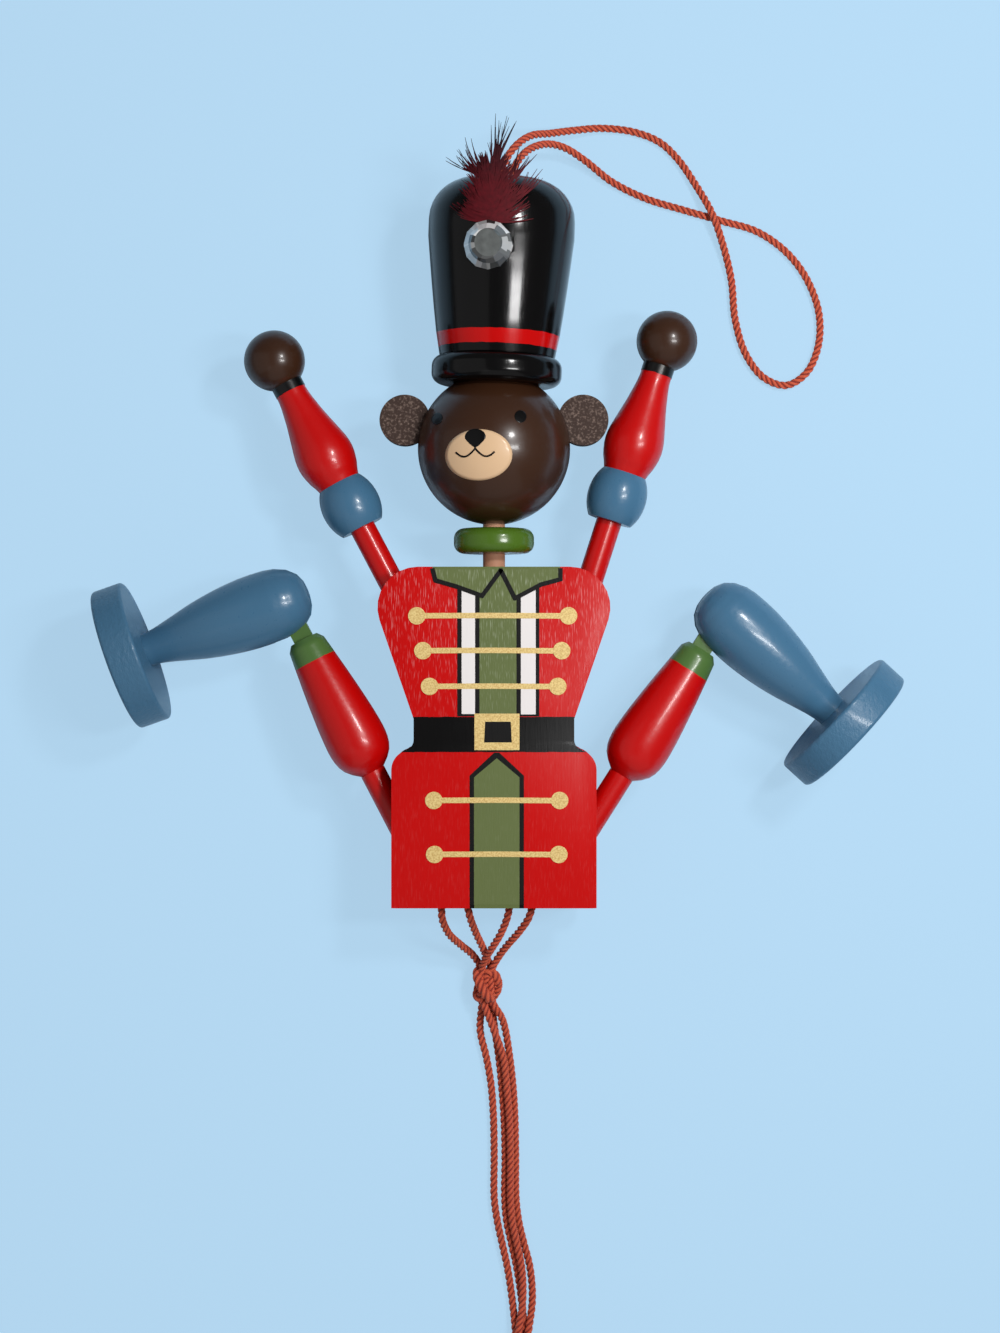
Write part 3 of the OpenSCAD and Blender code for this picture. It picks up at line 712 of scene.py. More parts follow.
@dataclass
class Cords:
    """The hanging cord, the four pull cords with their knots, and the strings in the body.

    Sizes are in millimetres. A knot narrower than knot_full is wound with a thinner cord.
    """

    thread: bpy.types.Material
    yarn: Yarn = Yarn()
    exit_y: float = -96.6
    knot_y: float = -114.0
    knot_swell: float = 1.3
    knot_points: int = 150
    knot_full: float = 6.4
    knots: tuple = (
        ("pull_cord_knot", "pull_knot", (-2.0, -117.8, 4.5), (8.4, 9.4, 8.4)),
        ("pull_cord_end_knot", "end_knot", (6.7, -213.0, 3.7), (7.0, 8.0, 7.0)),
    )
    hanging: tuple = (
        (1.3, 82.4, 19), (1.7, 86.2, 19), (2.9, 89.8, 18.6), (5.4, 93.6, 17.4), (9.2, 96.9, 14), (14.4, 98.6, 9),
        (20.4, 100.2, 5), (28, 101.4, 1.9), (36, 100.6, 1.1), (42.5, 98, 1.1), (47.2, 93.6, 1.1),
        (51.4, 87.4, 1.7), (55.6, 79.6, 3.5), (58.6, 71.6, 2.3), (60.9, 62.6, 1.1), (61.9, 52.4, 1.1),
        (64.6, 43.6, 1.1), (69.2, 37.6, 1.1), (75, 35.6, 1.1), (80.2, 38.8, 1.1), (83.2, 45.6, 1.1),
        (83.4, 54, 1.1), (80.4, 62.6, 1.1), (75.2, 69.6, 1.1), (67.6, 75, 1.1), (58.4, 77.8, 1.1),
        (48.6, 80.6, 1.1), (38.8, 83.6, 1.1), (30.2, 87.8, 1.4), (23.2, 92.8, 3.6), (18, 95.4, 6.6),
        (13.4, 95.6, 10.4), (9, 93.4, 14.8), (6.4, 90.4, 17.6), (4.6, 87, 18.8), (3.4, 82.6, 19),
    )
    pulls: tuple = (
        ("pull_cord_a", (
            (-13.1, -96.6, 18), (-13, -99.6, 17.4), (-11.4, -103.8, 14), (-8.4, -107.2, 9.4), (-5.4, -110.2, 5.6),
            (-3.6, -113.4, 3.6), (-3.1, -117.8, 3.3), (-3.1, -122.4, 3), (-3.6, -130, 1.1), (-2, -137, 1.1),
            (-0.8, -144, 1.1), (-0.2, -152, 1.1), (0, -162, 1.1), (0, -173, 1.1), (0.8, -179, 1.1), (2, -184.6, 1.1),
            (3.4, -191, 1.1), (4.6, -199, 1.1), (5.4, -206.4, 2.2), (5.6, -212.6, 2.4),
        )),
        ("pull_cord_b", (
            (-6.6, -96.6, 18), (-6, -99.4, 17.4), (-4.6, -103.6, 14), (-3, -107.4, 10.8), (-1.9, -110.6, 7),
            (-1.1, -113.4, 4.2), (-0.9, -117.8, 3.3), (-0.7, -122.4, 3), (0.2, -130, 1.1), (1.2, -137, 1.1),
            (1.9, -144, 1.1), (2.5, -152, 1.1), (2.8, -162, 1.1), (2.7, -173, 1.1), (3.2, -179, 1.1),
            (4.4, -184.6, 1.1), (5.8, -191, 1.1), (7, -199, 1.1), (7.7, -206.4, 2.2), (7.8, -212.6, 2.4),
        )),
        ("pull_cord_c", (
            (3.9, -96.6, 18), (3.3, -99.4, 17.5), (1.7, -103.6, 15.4), (-0.4, -107.4, 12.6), (-2.2, -110.6, 9),
            (-3.1, -113.6, 6.2), (-3.1, -117.8, 5.5), (-2.6, -122.4, 5.3), (-0.4, -128.6, 4.6), (2.4, -137, 3),
            (3.2, -144, 2.9), (3.9, -152, 2.9), (4.2, -162, 2.9), (4.2, -173, 2.9), (4.7, -179, 2.9),
            (5.9, -184.6, 2.9), (7.1, -191, 3), (7.3, -199, 3.2), (6.2, -206.4, 4.4), (5.6, -212.6, 4.7),
        )),
        ("pull_cord_d", (
            (9.6, -96.6, 18), (8.6, -99.6, 17.4), (6.2, -103.4, 14.6), (3.4, -107, 11), (1.1, -110.4, 8),
            (-0.5, -113.6, 6.3), (-0.9, -117.8, 5.5), (-0.3, -122.4, 5.1), (1.8, -126.2, 3.6), (2.9, -130, 1.8),
            (4, -137, 1.1), (4.8, -144, 1.1), (5.3, -152, 1.1), (5.5, -162, 1.1), (5.6, -173, 1.1), (6.3, -179, 1.1),
            (7.6, -184.6, 1.1), (9.2, -191, 1.1), (9.8, -199, 1.4), (8.8, -206.4, 4), (7.8, -212.6, 4.7),
        )),
    )
    strings: tuple = (
        ("left_arm_string", (-21.1, -24.25), 117.8, (
            (-14.4, -27.7, 18), (-12.6, -29.4, 18), (-12, -33, 18), (-11.4, -46, 18), (-10.9, -60, 18),
            (-10.4, -75, 18), (-8.8, -88, 18), (-6.6, -96.3, 18),
        )),
        ("right_arm_string", (21.1, -24.25), 72.2, (
            (15.2, -28.7, 18), (13.2, -30.2, 18), (12.4, -33.5, 18), (11.8, -46, 18), (11, -60, 18),
            (10, -75, 18), (7, -88, 18), (3.9, -96.3, 18),
        )),
        ("left_leg_string", (-21.1, -80.6), 117.5, (
            (-14.9, -84.1, 18), (-13.4, -85.9, 18), (-13.1, -90, 18), (-13.1, -96.3, 18),
        )),
        ("right_leg_string", (21.1, -80.6), 57.6, (
            (14.7, -83.6, 18), (12.5, -85.1, 18), (11.1, -89, 18), (9.6, -96.3, 18),
        )),
    )
    tail_at: float = 6.0
    stop_out: float = 5.0
    stop_size: Place = (3.8, 4.0, 3.8)
    blend_up: float = 12.0

    def build(self) -> None:
        knots = [
            settled(self._lump(name, Vector(at), Vector(size), Vector((0, 1, 0))), "pull_cord", node)
            for name, node, at, size in self.knots
        ]
        path = smoothed(self.hanging, self.yarn.step)
        rope = self.yarn.sweep("hanging_rope", path, self.thread)
        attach(rope, "torso")
        self._declare(rope, "hanging_cord")
        for name, route in self.pulls:
            path = smoothed(route, self.yarn.step)
            rope = self.yarn.sweep(name + "_rope", path, self.thread)
            start, end = Vector(route[0]), Vector(route[0])
            start.y, end.y = self.exit_y, self.knot_y
            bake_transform(rope)
            self._declare(rope, name)
        for name, pin, turn, route in self.strings:
            self._string(name, pin, math.radians(turn), route)

    def _declare(self, rope: bpy.types.Object, node: str) -> None:
        """Hides the CAD node that a free cord stands for.

        Args:
            rope: The cord.
            node: The CAD node that it stands for.
        """
        settled(rope, node=node)

    def _string(self, name: str, pin: Flat, turn: float, route: tuple[Place, ...]) -> None:
        """Makes a string in the body, from its stop behind a limb's rod to the body's lower edge.

        Args:
            name: The CAD node that it stands for.
            pin: The place of the limb's pin, in millimetres.
            turn: The rod's direction from +X, in radians.
            route: The string's points, in millimetres.
        """
        away = Vector((math.cos(turn), math.sin(turn), 0))
        tail = Vector((*pin, route[0][2])) - away * self.tail_at
        through = (Vector(route[0]) - tail).normalized()
        start = tail - through * self.stop_out
        path = smoothed((tuple(start), *route), self.yarn.step)
        rope = self.yarn.sweep(name + "_rope", path, self.thread)
        stop = self._lump(name + "_stop", start, Vector(self.stop_size), through)
        settled(rope, node=name)
        settled(stop, name.removesuffix("_string").replace("leg", "upper_leg"), name)
        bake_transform(rope)
        LOG.info("%s", name)

    def _lump(self, name: str, at: Vector, size: Vector, way: Vector) -> bpy.types.Object:
        """Winds a cord into a knot: a closed line that goes round itself.

        Args:
            name: The piece's name.
            at: The middle, in millimetres.
            size: The width, length and height, in millimetres.
            way: The direction of its length.

        Returns:
            The knot.
        """
        thin = min(1.0, size.x / self.knot_full)
        thick = self.yarn.radius * thin * self.knot_swell
        yarn = Yarn(radius=thick, lay=self.yarn.lay * thin, step=self.yarn.step * thin)
        spin = way.to_track_quat("Y", "Z")
        room = size / 2 - Vector((yarn.radius,) * 3)
        path = []
        for i in range(self.knot_points + 1):
            turn = math.tau * i / self.knot_points
            out = 0.64 + 0.36 * math.cos(3 * turn)
            place = Vector((math.cos(2 * turn) * out, math.sin(3 * turn), math.sin(2 * turn) * out))
            path.append((at + spin @ Vector(a * b for a, b in zip(place, room))) * MM)
        return yarn.sweep(name, path, self.thread)


def direction(lean: float, side: int) -> Place:
    """Gives the unit direction that leans from +Y to one side, in degrees."""
    return (side * math.sin(math.radians(lean)), math.cos(math.radians(lean)), 0.0)


def dress(material: bpy.types.Material, *names: str, edge: float = 0.0) -> None:
    """Paints CAD nodes, and rounds their edges.

    Args:
        material: Their finish.
        *names: The nodes' names.
        edge: The radius of their rounded edges, in millimetres, or 0 to keep them crisp.
    """
    for name in names:
        piece = NODES[name]
        piece.data.materials.clear()
        piece.data.materials.append(material)
        piece.data.polygons.foreach_set("use_smooth", [True] * len(piece.data.polygons))
        piece.modifiers.new("weld", "WELD").merge_threshold = 0.001 * MM
        if edge:
            bevel = piece.modifiers.new("rounded edges", "BEVEL")
            bevel.width = edge * MM
            bevel.segments = 3
            bevel.limit_method = "ANGLE"
            bevel.angle_limit = math.radians(40)
            bevel.harden_normals = True
        else:
            piece.modifiers.new("crisp edges", "EDGE_SPLIT").split_angle = math.radians(35)


@dataclass
class Coat:
    """The two boards of the body, the coat painted on the front one, and what is between them."""

    paints: dict[str, bpy.types.Material]
    front: float = field(init=False)
    edge: float = 0.8
    ink: float = 1.1
    layer: float = 0.05
    top: float = -12.0
    foot: float = -96.2
    belt: Flat = (-57.7, -49.0)
    collar_strip: Flat = (-15.1, 16.4)
    apex: Flat = (1.7, -12.9)
    lapels: tuple = (
        ((-15.1, -12.7), (-14.4, -15.4), (-9.2, -16.9), (-2.9, -19.2)),
        ((16.4, -12.7), (16.4, -15.1), (11.6, -16.4), (5.2, -19.8)),
    )
    placket: Flat = (-3.55, 5.55)
    stripe_outer: Flat = (-7.95, 10.3)
    stripe_top: float = -17.2
    panel: Flat = (-4.9, 6.3)
    panel_tip: Flat = (0.7, -58.9)
    panel_shoulder: float = -63.9
    bars: tuple = (
        ("chest_bar_1", -24.1, -0.3, 18.7), ("chest_bar_2", -32.7, -0.4, 17.1), ("chest_bar_3", -41.5, -0.05, 15.8),
        ("skirt_bar_1", -69.6, 0.7, 15.5), ("skirt_bar_2", -82.9, 0.7, 15.3),
    )
    bar_width: float = 1.35
    dab: float = 2.15
    buckle: tuple = (-4.8, 6.3, -57.2, -48.2)
    buckle_hole: tuple = ((-2.4, -55.3), (4.4, -55.3), (4.15, -50.2), (-2.15, -50.2))

    def build(self) -> None:
        """Paints the boards and lays the coat's details on the front one."""
        self.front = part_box("front_board")[1].z / MM
        bare = self.paints["bare"]
        dress(self._board_paint("front_poster_paint", True).build(), "front_board", edge=self.edge)
        dress(self._board_paint("back_poster_paint", False).build(), "back_board", edge=self.edge)
        dress(bare, "neck_block", "middle_block", edge=0.3)
        dress(bare, "left_shoulder_pin", "right_shoulder_pin", "left_hip_pin", "right_hip_pin", edge=0.15)
        dress(self.paints["neck"], "neck_dowel")
        dress(self.paints["collar"], "collar_bead")
        self._chest()
        self._skirt()
        for name, *bar in self.bars:
            self._bar(name, *bar)
        self._lapels()
        self._lay("buckle", rectangle(*self.buckle), 3, "gold")
        self._lay("buckle_middle", list(self.buckle_hole), 4, "black")
        LOG.info("coat and body")

    def _board_paint(self, name: str, decorated: bool) -> Paint:
        """Gives the paint of a board.

        Args:
            name: The material's name.
            decorated: Whether it has the coat's belt, collar and panel at its edges.

        Returns:
            The paint.
        """
        across, along = (1.0, 0.0, 0.0), (0.0, 1.0, 0.0)
        face = Band((0.0, 0.0, 1.0), self.front - self.edge - 0.3, self.front + 1)
        hem = Band(along, self.foot - 1, self.foot + 3)
        left, right = self.panel
        regions = (
            Region(Colour.BLACK, (Band(along, *self.belt),)),
            Region(Colour.PLACKET_GREEN, (Band(across, *self.collar_strip), Band(along, self.top - 1.6, 0), face)),
            Region(Colour.BLACK, (Band(across, left - self.ink, right + self.ink), hem, face)),
            Region(Colour.PLACKET_GREEN, (Band(across, left, right), hem, face)),
        )
        # Poster paint brushed thinly on the board: nearly matt; dashes where the brush skipped, and painted glints.
        return Paint(
            name, Colour.COAT, roughness=0.38, coat=0.03, gloss=0.14, grain=Grain.ALONG_Y, relief=0.6,
            mottling=0.14, flecks_and_painted_glints=0.34, wobble=0.07, regions=regions if decorated else (),
        )

    def _lay(self, name: str, outline: list[Flat], level: float, paint: str) -> None:
        """Lays a film of paint on the front board.

        Args:
            name: The piece's name.
            outline: Its outline, in millimetres.
            level: How many films lie below it.
            paint: Its finish's name.
        """
        low, thick = self.front - self.layer, self.layer * (level + 1.6)
        settled(film(name, outline, low, thick, self.paints[paint]), "torso")

    def _chest(self) -> None:
        """Paints the placket and the white stripes."""
        low, top, ink = self.belt[1] + 0.1, self.stripe_top, self.ink
        left, right = self.stripe_outer
        self._lay("chest_black", rectangle(left - ink, right + ink * 0.8, low, top), 0, "black")
        self._lay("left_white_stripe", rectangle(left, self.placket[0] - ink, low + 0.6, top), 1, "white")
        self._lay("right_white_stripe", rectangle(self.placket[1] + ink, right, low + 0.5, top), 1, "white")
        self._lay("chest_placket", rectangle(*self.placket, low, self.top - 1.2), 1, "green")

    def _skirt(self) -> None:
        """Paints the pointed panel below the belt."""
        (left, right), (tip_x, tip_y) = self.panel, self.panel_tip
        shoulder, foot, ink = self.panel_shoulder, self.foot + 0.9, self.ink
        outer = [
            (left - ink, foot), (right + ink, foot), (right + ink, shoulder + 0.4), (tip_x + 0.6, tip_y + 1.1),
            (tip_x - 0.6, tip_y + 1.1), (left - ink, shoulder + 0.4),
        ]
        inner = [(left, foot), (right, foot), (right, shoulder), (tip_x, tip_y - 0.3), (left, shoulder)]
        self._lay("skirt_panel_black", outer, 0, "black")
        self._lay("skirt_panel", inner, 1, "green")

    def _bar(self, name: str, y: float, middle: float, half: float) -> None:
        """Paints a gold bar with a round dab at each end.

        Args:
            name: The piece's name.
            y: Its height, in millimetres.
            middle: Its middle, in millimetres.
            half: Half its span, in millimetres.
        """
        line = [(middle - half, y), (middle, y + 0.08), (middle + half, y - 0.05)]
        self._lay(name, stroke(line, self.bar_width), 2, "gold")
        for word, side in SIDES:
            self._lay(f"{name}_{word}_dab", circle(middle + side * half, y, self.dab), 3, "gold")

    def _lapels(self) -> None:
        """Paints the collar's two pointed lapels and their black edge."""
        for (word, _), corners in zip(SIDES, self.lapels):
            outline = [*corners, self.apex]
            self._lay(f"{word}_lapel", outline + [(self.apex[0], corners[0][1])], 2, "green")
            for i, (first, last) in enumerate(zip(outline, outline[1:])):
                start, end = Vector(first), Vector(last)
                over = (end - start).normalized() * self.ink * 0.3
                line = [tuple(start - over), tuple(end + over)]
                self._lay(f"{word}_lapel_edge_{i + 1}", stroke(line, self.ink), 3 + i * 0.2, "black")


@dataclass
class Bear:
    """The head with its painted face, and the ears."""

    paints: dict[str, bpy.types.Material]
    centre: Place = (0.0, 17.75, 19.0)
    radius: float = 19.0
    eyes: tuple = ((-14.0, 6.4), (6.5, 6.4))
    eye_size: Flat = (1.45, 1.566)
    muzzle: Flat = (-3.7, -3.0)
    muzzle_size: Flat = (8.2, 6.15)
    nose: Flat = (-4.5, 1.0)
    nose_size: Flat = (2.8, 2.25)
    mouth_reach: float = 4.7
    mouth_drop: float = 1.9
    mouth_turn: float = 0.87
    line: float = 0.25
    film: float = 0.2

    def build(self) -> None:
        """Paints the head, the ears and the face."""
        dress(self.paints["bear"], "head")
        dress(self.paints["ear"], "left_ear", "right_ear")
        self._dab("muzzle", self.muzzle, self.muzzle_size, 0.05, "muzzle")
        self._dab("nose", self.nose, self.nose_size, 0.12, "black_gloss", point=0.35)
        for i, place in enumerate(self.eyes):
            self._dab(f"eye_{i + 1}", place, self.eye_size, 0.07, "black_gloss")
        self._mouth()
        LOG.info("bear's head and face")

    def _on_ball(self, x: float, y: float, lift: float) -> Vector:
        """Gives the place on the head over a point of the face, in metres."""
        high = math.sqrt(max((self.radius + lift) ** 2 - x**2 - y**2, 0.0))
        return mm(*self.centre) + mm(x, y, high)

    def _dab(self, name: str, at: Flat, size: Flat, lift: float, paint: str, point: float = 0.0) -> None:
        """Paints an oval on the round of the head.

        Args:
            name: The piece's name.
            at: Its middle, from the head's middle, in millimetres.
            size: Half its width and half its height, in millimetres.
            lift: How far it stands out, in millimetres.
            paint: Its finish's name.
            point: How much its lower end narrows.
        """
        bm = bmesh.new()
        rings = 9
        spoke = [bm.verts.new((i / rings, 0, 0)) for i in range(rings + 1)]
        edges = [bm.edges.new(pair) for pair in zip(spoke, spoke[1:])]
        bmesh.ops.spin(
            bm, geom=spoke + edges, cent=(0, 0, 0), axis=(0, 0, 1), angle=math.tau, steps=48, use_merge=True
        )
        bmesh.ops.remove_doubles(bm, verts=bm.verts, dist=1e-6)
        for vert in bm.verts:
            u, v = vert.co.x, vert.co.y
            narrow = 1 - point * max(0.0, -v) - point * 0.3 * (1 - v)
            vert.co = self._on_ball(at[0] + u * size[0] * narrow, at[1] + v * size[1], lift)
        piece = new_piece(name, mesh_from(bm, name), self.paints[paint])
        skin = piece.modifiers.new("paint thickness", "SOLIDIFY")
        skin.thickness = self.film * MM
        skin.offset = -1.0
        settled(piece, "torso")

    def _mouth(self) -> None:
        """Draws the mouth: a short line down from the nose and a curve to each side."""
        x, y = self.nose
        nose_foot = y - self.nose_size[1]
        start = nose_foot - 0.3
        strokes = {"mouth_middle": [(x, nose_foot + 0.4), (x, start + 0.2), (x, start)]}
        for word, side in SIDES:
            strokes[f"mouth_{word}"] = [
                (
                    x + side * self.mouth_reach * i / 10,
                    start - self.mouth_drop * math.sin(math.pi * self.mouth_turn * i / 10),
                )
                for i in range(11)
            ]
        for name, points in strokes.items():
            brush = new_line(name, [self._on_ball(u, v, 0.0) for u, v in points])
            brush.data.bevel_depth = self.line * MM
            brush.data.bevel_resolution = 3
            settled(new_piece(name, swept(brush), self.paints["black_gloss"]), "torso")


@dataclass
class Hat:
    """The tall hat with its red band, its cut stone and its feather."""

    paints: dict[str, bpy.types.Material]
    centre: Place = (0.0, 17.75, 19.0)
    lean: float = 2.0
    seat: float = 15.8
    band: Flat = (8.9, 12.4)
    crown: float = 18.31
    root: float = 53.6
    shaft: float = -2.6
    barbs: int = 380
    barb_length: Flat = (6.0, 11.0)
    wisps: tuple = (
        ((-4.2, 64.0), (-84.0, -40.0), (7.0, 12.0), 22),
        ((-2.4, 64.5), (-8.0, 22.0), (8.0, 15.0), 26),
        ((2.2, 64.0), (22.0, 52.0), (5.0, 10.0), 9),
        ((1.0, 58.0), (48.0, 74.0), (8.0, 12.0), 8),
    )
    seed: int = 7

    def build(self) -> None:
        """Paints the hat and its stone, and makes its feather."""
        way = direction(self.lean, 1)
        start = Vector(self.centre).dot(Vector(way)) + self.seat
        band = Region(Colour.LIMB_RED, (Band(way, start + self.band[0], start + self.band[1]),))
        # Black lacquer on turned wood: hardly a colour of its own, with sharp pale glints.
        gloss = Paint(
            "black_lacquer", Colour.BLACK, roughness=0.16, coat=0.32, gloss=0.14, grain=Grain.ALONG_Y, relief=0.4,
            wobble=0.1, regions=(band,),
        )
        dress(gloss.build(), "hat")
        low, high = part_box("cut_stone")
        foiled = FoiledStone(((low.x + high.x) / 2, (low.y + high.y) / 2), (high.x - low.x) / 2)
        cut = NODES["cut_stone"].data.materials
        cut.clear()
        cut.append(foiled.build())
        self._feather()
        LOG.info("hat, stone and feather")

    def _feather(self) -> None:
        """Makes the feather: a fan of wide barbs on the crown and thin wisps above it."""
        rng = random.Random(self.seed)
        # The feather is drawn on an upright crown, whose axis z is then laid along the hat's.
        turned = Matrix.Rotation(math.radians(-self.lean), 4, "Z") @ Matrix.Rotation(math.radians(-90), 4, "X")
        place = Matrix.Translation(mm(*self.centre)) @ turned
        bm = bmesh.new()
        for _ in range(self.barbs):
            share = rng.random()
            side = rng.choice((-1, 1)) * rng.uniform(0.4, 1)
            lean = math.radians(side * (108 - 66 * share))
            length = rng.uniform(*self.barb_length) * (1 - 0.35 * share)
            start = (self.shaft + rng.uniform(-0.6, 0.6), self.root + 11.0 * share)
            self._barb(bm, place, rng, start, lean, length, width=0.8)
        for (x, up), (first, last), (short, long), count in self.wisps:
            for i in range(count):
                lean = math.radians(first + (last - first) * (i + 0.5) / count + rng.uniform(-4, 4))
                start = (x + rng.uniform(-0.9, 0.9), up + rng.uniform(-0.8, 0.8))
                self._barb(bm, place, rng, start, lean, rng.uniform(short, long), width=0.6)
        self._barb(bm, place, rng, (self.shaft, self.root), math.radians(4), 19.0, width=0.8)
        piece = new_piece("feather_barbs", mesh_from(bm, "feather_barbs"), self.paints["feather"])
        settled(piece, "torso", "feather")

    def _barb(
        self, bm: bmesh.types.BMesh, place: Matrix, rng: random.Random, start: Flat, lean: float, length: float,
        width: float,
    ) -> None:
        """Adds one tapering barb by extruding its edge from point to point.

        Args:
            bm: The feather's bmesh.
            place: The hat's place.
            rng: The source of the barbs' small differences.
            start: Where it starts, across and along the hat's axis, in millimetres.
            lean: Its lean from the axis, in radians.
            length: Its length, in millimetres.
            width: Its width at the root, in millimetres.
        """
        steps = 6
        lift = rng.uniform(0.02, 0.55)
        bend = rng.uniform(-0.3, 0.3) - 0.45 * lean
        (x, y), turn = start, lean
        edge = None
        for i in range(steps + 1):
            half = width / 2 * (1 - 0.85 * i / steps)
            across = Vector((math.cos(turn), -math.sin(turn))) * half
            pair = []
            for sign in (-1, 1):
                u, v = x + sign * across.x, y + sign * across.y
                reach = self.crown + lift + 0.5 * (i / steps) ** 2
                u = max(-reach * 0.98, min(reach * 0.98, u))
                pair.append(place @ mm(u, -math.sqrt(reach**2 - u**2), v))
            if edge is None:
                edge = bm.edges.new([bm.verts.new(p) for p in pair])
            else:
                made = bmesh.ops.extrude_edge_only(bm, edges=[edge])["geom"]
                edge = next(part for part in made if isinstance(part, bmesh.types.BMEdge))
                old = list(edge.verts)
                if (old[0].co - pair[0]).length > (old[0].co - pair[1]).length:
                    old.reverse()
                for vert, target in zip(old, pair):
                    vert.co = target
            turn += bend / steps
            x += math.sin(turn) * length / steps
            y += math.cos(turn) * length / steps


# Enamel that a turned limb was dipped in: a deep even red, with small hard glints over a soft peel.
LIMB_PAINT = Paint(
    "red_dipped_enamel", Colour.LIMB_RED, roughness=0.3, coat=0.2, relief=0.35, depth=0.12, mottling=0.1, wobble=0.1
)


@dataclass
class Limbs:
    """The arms and legs: CAD nodes in gloss paint, with black cuffs and green knee caps."""

    paints: dict[str, bpy.types.Material]
    hips: tuple = (((-21.1, -80.6), 27.5), ((21.1, -80.6), 32.4))
    shoulders: tuple = (((-21.1, -24.25), 27.8), ((21.1, -24.25), 17.8))
    cuff: float = 63.65
    knee_cap: float = 51.2
    past: float = 60.0

    def build(self) -> None:
        """Paints every limb."""
        paints = self.paints
        for (word, side), shoulder, hip in zip(SIDES, self.shoulders, self.hips):
            sleeve = self._ended(f"{word}_sleeve_dipped_enamel", shoulder, side, self.cuff, Colour.BLACK)
            thigh = self._ended(f"{word}_thigh_dipped_enamel", hip, side, self.knee_cap, Colour.KNEE_GREEN)
            dress(sleeve.build(), f"{word}_sleeve")
            dress(thigh.build(), f"{word}_thigh")
            dress(paints["limb_red"], f"{word}_arm_rod")
            dress(paints["blue"], f"{word}_elbow_bead", f"{word}_shin")
            dress(paints["bear"], f"{word}_hand")
            dress(paints["bare"], f"{word}_knee_pin")
            dress(paints["blue_matt"], f"{word}_foot")
            LOG.info("%s arm and leg", word)

    def _ended(self, name: str, pivot: tuple[Flat, float], side: int, start: float, colour: Colour) -> Paint:
        """Gives a limb's red paint with another colour past a place along it.

        Args:
            name: The material's name.
            pivot: The limb's pin and its lean, in millimetres and degrees.
            side: 1 for the right and -1 for the left.
            start: Where the other colour starts from the pin, in millimetres.
            colour: The other colour.

        Returns:
            The paint.
        """
        pin, lean = pivot
        way = direction(lean, side)
        base = Vector((*pin, 0)).dot(Vector(way))
        end = Region(colour, (Band(way, base + start, base + start + self.past),))
        return replace(LIMB_PAINT, name=name, regions=(end,))


@dataclass
class Studio:
    """The camera straight above the toy, the lamps and the pale blue floor."""

    middle: Flat = (1.5, -36.6)
    height: float = 640.0
    focus: float = 18.0
    frame_height: float = 333.25
    film: float = 36.0
    lamps: tuple = (
        ("key", (215.0, 150.0, 450.0), (60.0, 60.0), 1.15),
        ("strip", (228.0, 0.0, 450.0), (44.0, 150.0), 1.0),
        ("fill", (-420.0, -60.0, 380.0), (700.0, 700.0), 0.4),
        ("low", (60.0, -460.0, 380.0), (700.0, 700.0), 0.45),
    )
    floor_half: float = 3000.0
    floor_glow: float = 0.82
    sky: tuple = (0.92, 0.95, 1.0, 1.0)
    sky_strength: float = 0.14

    def build(self) -> None:
        """Makes the camera, the lamps, the floor and the world."""
        self._camera()
        self._lamps()
        self._floor()
        self._world()
        bpy.context.scene.view_settings.view_transform = "Standard"
        LOG.info("camera, lamps and floor")

    def _camera(self) -> None:
        """Makes the camera."""
        data = bpy.data.cameras.new("camera")
        data.sensor_width = self.film
        data.lens = self.film * (self.height - self.focus) / self.frame_height
        data.clip_start, data.clip_end = 10 * MM, 10.0
        camera = bpy.data.objects.new("camera", data)
        camera.location = mm(*self.middle, self.height)
        bpy.context.scene.collection.objects.link(camera)
        bpy.context.scene.camera = camera

    def _lamps(self) -> None:
        """Makes a key lamp and a strip lamp to the right, and two weak wide lamps."""
        for name, place, size, power in self.lamps:
            data = bpy.data.lights.new(name, "AREA")
            data.shape = "RECTANGLE"
            data.size, data.size_y = (length * MM for length in size)
            data.energy = power
            lamp = bpy.data.objects.new(name, data)
            lamp.location = mm(*place)
            aim = mm(0, 0, 15) - lamp.location
            lamp.rotation_euler = aim.to_track_quat("-Z", "Y").to_euler()
            bpy.context.scene.collection.objects.link(lamp)

    def _floor(self) -> None:
        """Makes the floor, a matt card in the photo's pale blue, which is partly even to the camera."""
        bm = bmesh.new()
        bmesh.ops.create_grid(bm, x_segments=1, y_segments=1, size=self.floor_half * MM)
        bmesh.ops.translate(bm, verts=bm.verts, vec=mm(0, 0, -0.3))
        material, tree, _ = blank("matt_card")
        colour = linear(Colour.FLOOR)
        dull = add_node(tree, "BsdfDiffuse", {"Color": colour})
        glow = add_node(tree, "Emission", {"Color": colour, "Strength": 1.0})
        seen = add_node(tree, "LightPath").outputs["Is Camera Ray"]
        share = add_node(tree, "Math", {0: seen, 1: self.floor_glow}, operation="MULTIPLY")
        mix = add_node(tree, "MixShader", {0: share, 1: dull, 2: glow})
        add_node(tree, "OutputMaterial", {"Surface": mix})
        new_piece("floor", mesh_from(bm, "floor"), material, smooth=False)

    def _world(self) -> None:
        """Makes a weak even light, which the camera sees as more of the floor."""
        world = bpy.data.worlds.new("studio")
        world.use_nodes = True
        bpy.context.scene.world = world
        tree = world.node_tree
        tree.nodes.clear()
        seen = add_node(tree, "LightPath").outputs["Is Camera Ray"]
        light = add_node(tree, "Background", {"Color": self.sky, "Strength": self.sky_strength})
        shown = add_node(tree, "Background", {"Color": linear(Colour.FLOOR), "Strength": 1.0})
        mix = add_node(tree, "MixShader", {0: seen, 1: light, 2: shown})
        add_node(tree, "OutputWorld", {"Surface": mix})


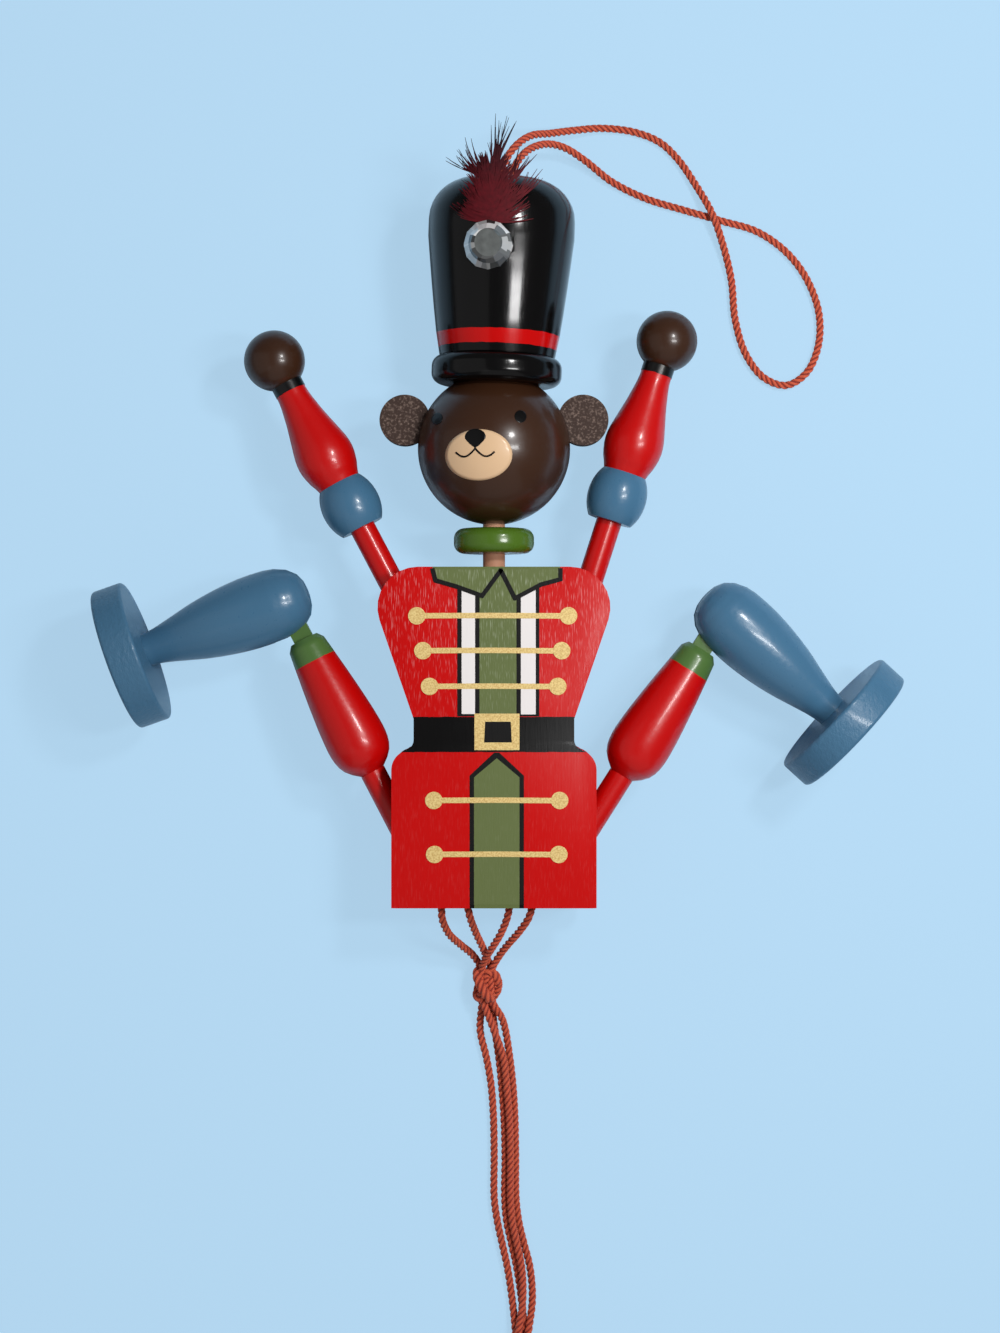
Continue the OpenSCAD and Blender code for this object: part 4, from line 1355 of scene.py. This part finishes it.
def finishes() -> dict[str, bpy.types.Material]:
    """Builds the finishes that several pieces share.

    Returns:
        The materials by short name.
    """
    board = {"coat": 0.05, "grain": Grain.ALONG_Y}
    made = {
        # Enamel that turned wood was dipped in: small hard glints, and a soft peel below them.
        "limb_red": LIMB_PAINT,
        "blue": Paint(
            "blue_dipped_enamel", Colour.TROUSER_BLUE, roughness=0.28, coat=0.22, relief=0.4, depth=0.14, mottling=0.1
        ),
        "bear": Paint("brown_dipped_enamel", Colour.BEAR_BROWN, coat=0.22, relief=0.1, mottling=0.08),
        "collar": Paint(
            "green_dipped_enamel", Colour.COLLAR_GREEN, roughness=0.26, coat=0.3, relief=0.15, mottling=0.1
        ),
        # Enamel brushed on over the brown: a thin smooth film with a soft shine.
        "muzzle": Paint("tan_brushed_enamel", Colour.MUZZLE, roughness=0.34, coat=0.3, relief=0.1, mottling=0.05),
        "black_gloss": Paint("black_brushed_enamel", Colour.BLACK, coat=0.1, gloss=0.2, relief=0.05),
        # Enamel brushed thickly over sawn end grain, which stays uneven, and thinly so that its pores show.
        "blue_matt": Paint(
            "blue_thick_enamel", Colour.TROUSER_BLUE, roughness=0.34, coat=0.15, grain=Grain.BRUSHED, relief=0.8,
            depth=0.35, mottling=0.2,
        ),
        "ear": Paint(
            "brown_thin_enamel", Colour.EAR_BROWN, roughness=0.6, coat=0.0, grain=Grain.ROUGH, relief=1.0, mottling=0.5,
            specks=0.4,
        ),
        # Poster paint brushed on the board: nearly matt, with the fibres in relief.
        "black": Paint("black_poster_paint", Colour.BLACK, roughness=0.42, gloss=0.2, relief=0.55, **board),
        "white": Paint("white_poster_paint", Colour.WHITE, roughness=0.42, relief=0.5, mottling=0.05, **board),
        # Its flecks are pale dashes, partly thin paint and partly painted glints of the grain.
        "green": Paint(
            "green_poster_paint", Colour.PLACKET_GREEN, roughness=0.42, gloss=0.2, relief=0.7, flecks_and_painted_glints=0.8,
            fleck_and_glint_lift=2.4, **board,
        ),
        # Wood without paint, taken as beech: dull, with its fibres in relief.
        "neck": Paint("turned_beech", Colour.NECK_WOOD, roughness=0.6, coat=0.0, grain=Grain.ALONG_Y, relief=0.5),
        "bare": Paint("sawn_beech", Colour.BARE_WOOD, roughness=0.65, coat=0.0, grain=Grain.ALONG_Y, relief=0.6),
        "gold": GoldPaint(),
        "cord": Thread(),
        "feather": Plumage(),
    }
    return {name: finish.build() for name, finish in made.items()}


def main() -> None:
    """Builds the studio, the cords and every sub-assembly, in that order."""
    logging.basicConfig(level=logging.INFO, format="%(message)s")
    NODES.update(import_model()["nodes"])
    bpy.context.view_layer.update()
    paints = finishes()
    Studio().build()
    Cords(paints["cord"]).build()
    for assembly in (Coat, Bear, Hat, Limbs):
        assembly(paints).build()


if __name__ == "__main__":
    main()
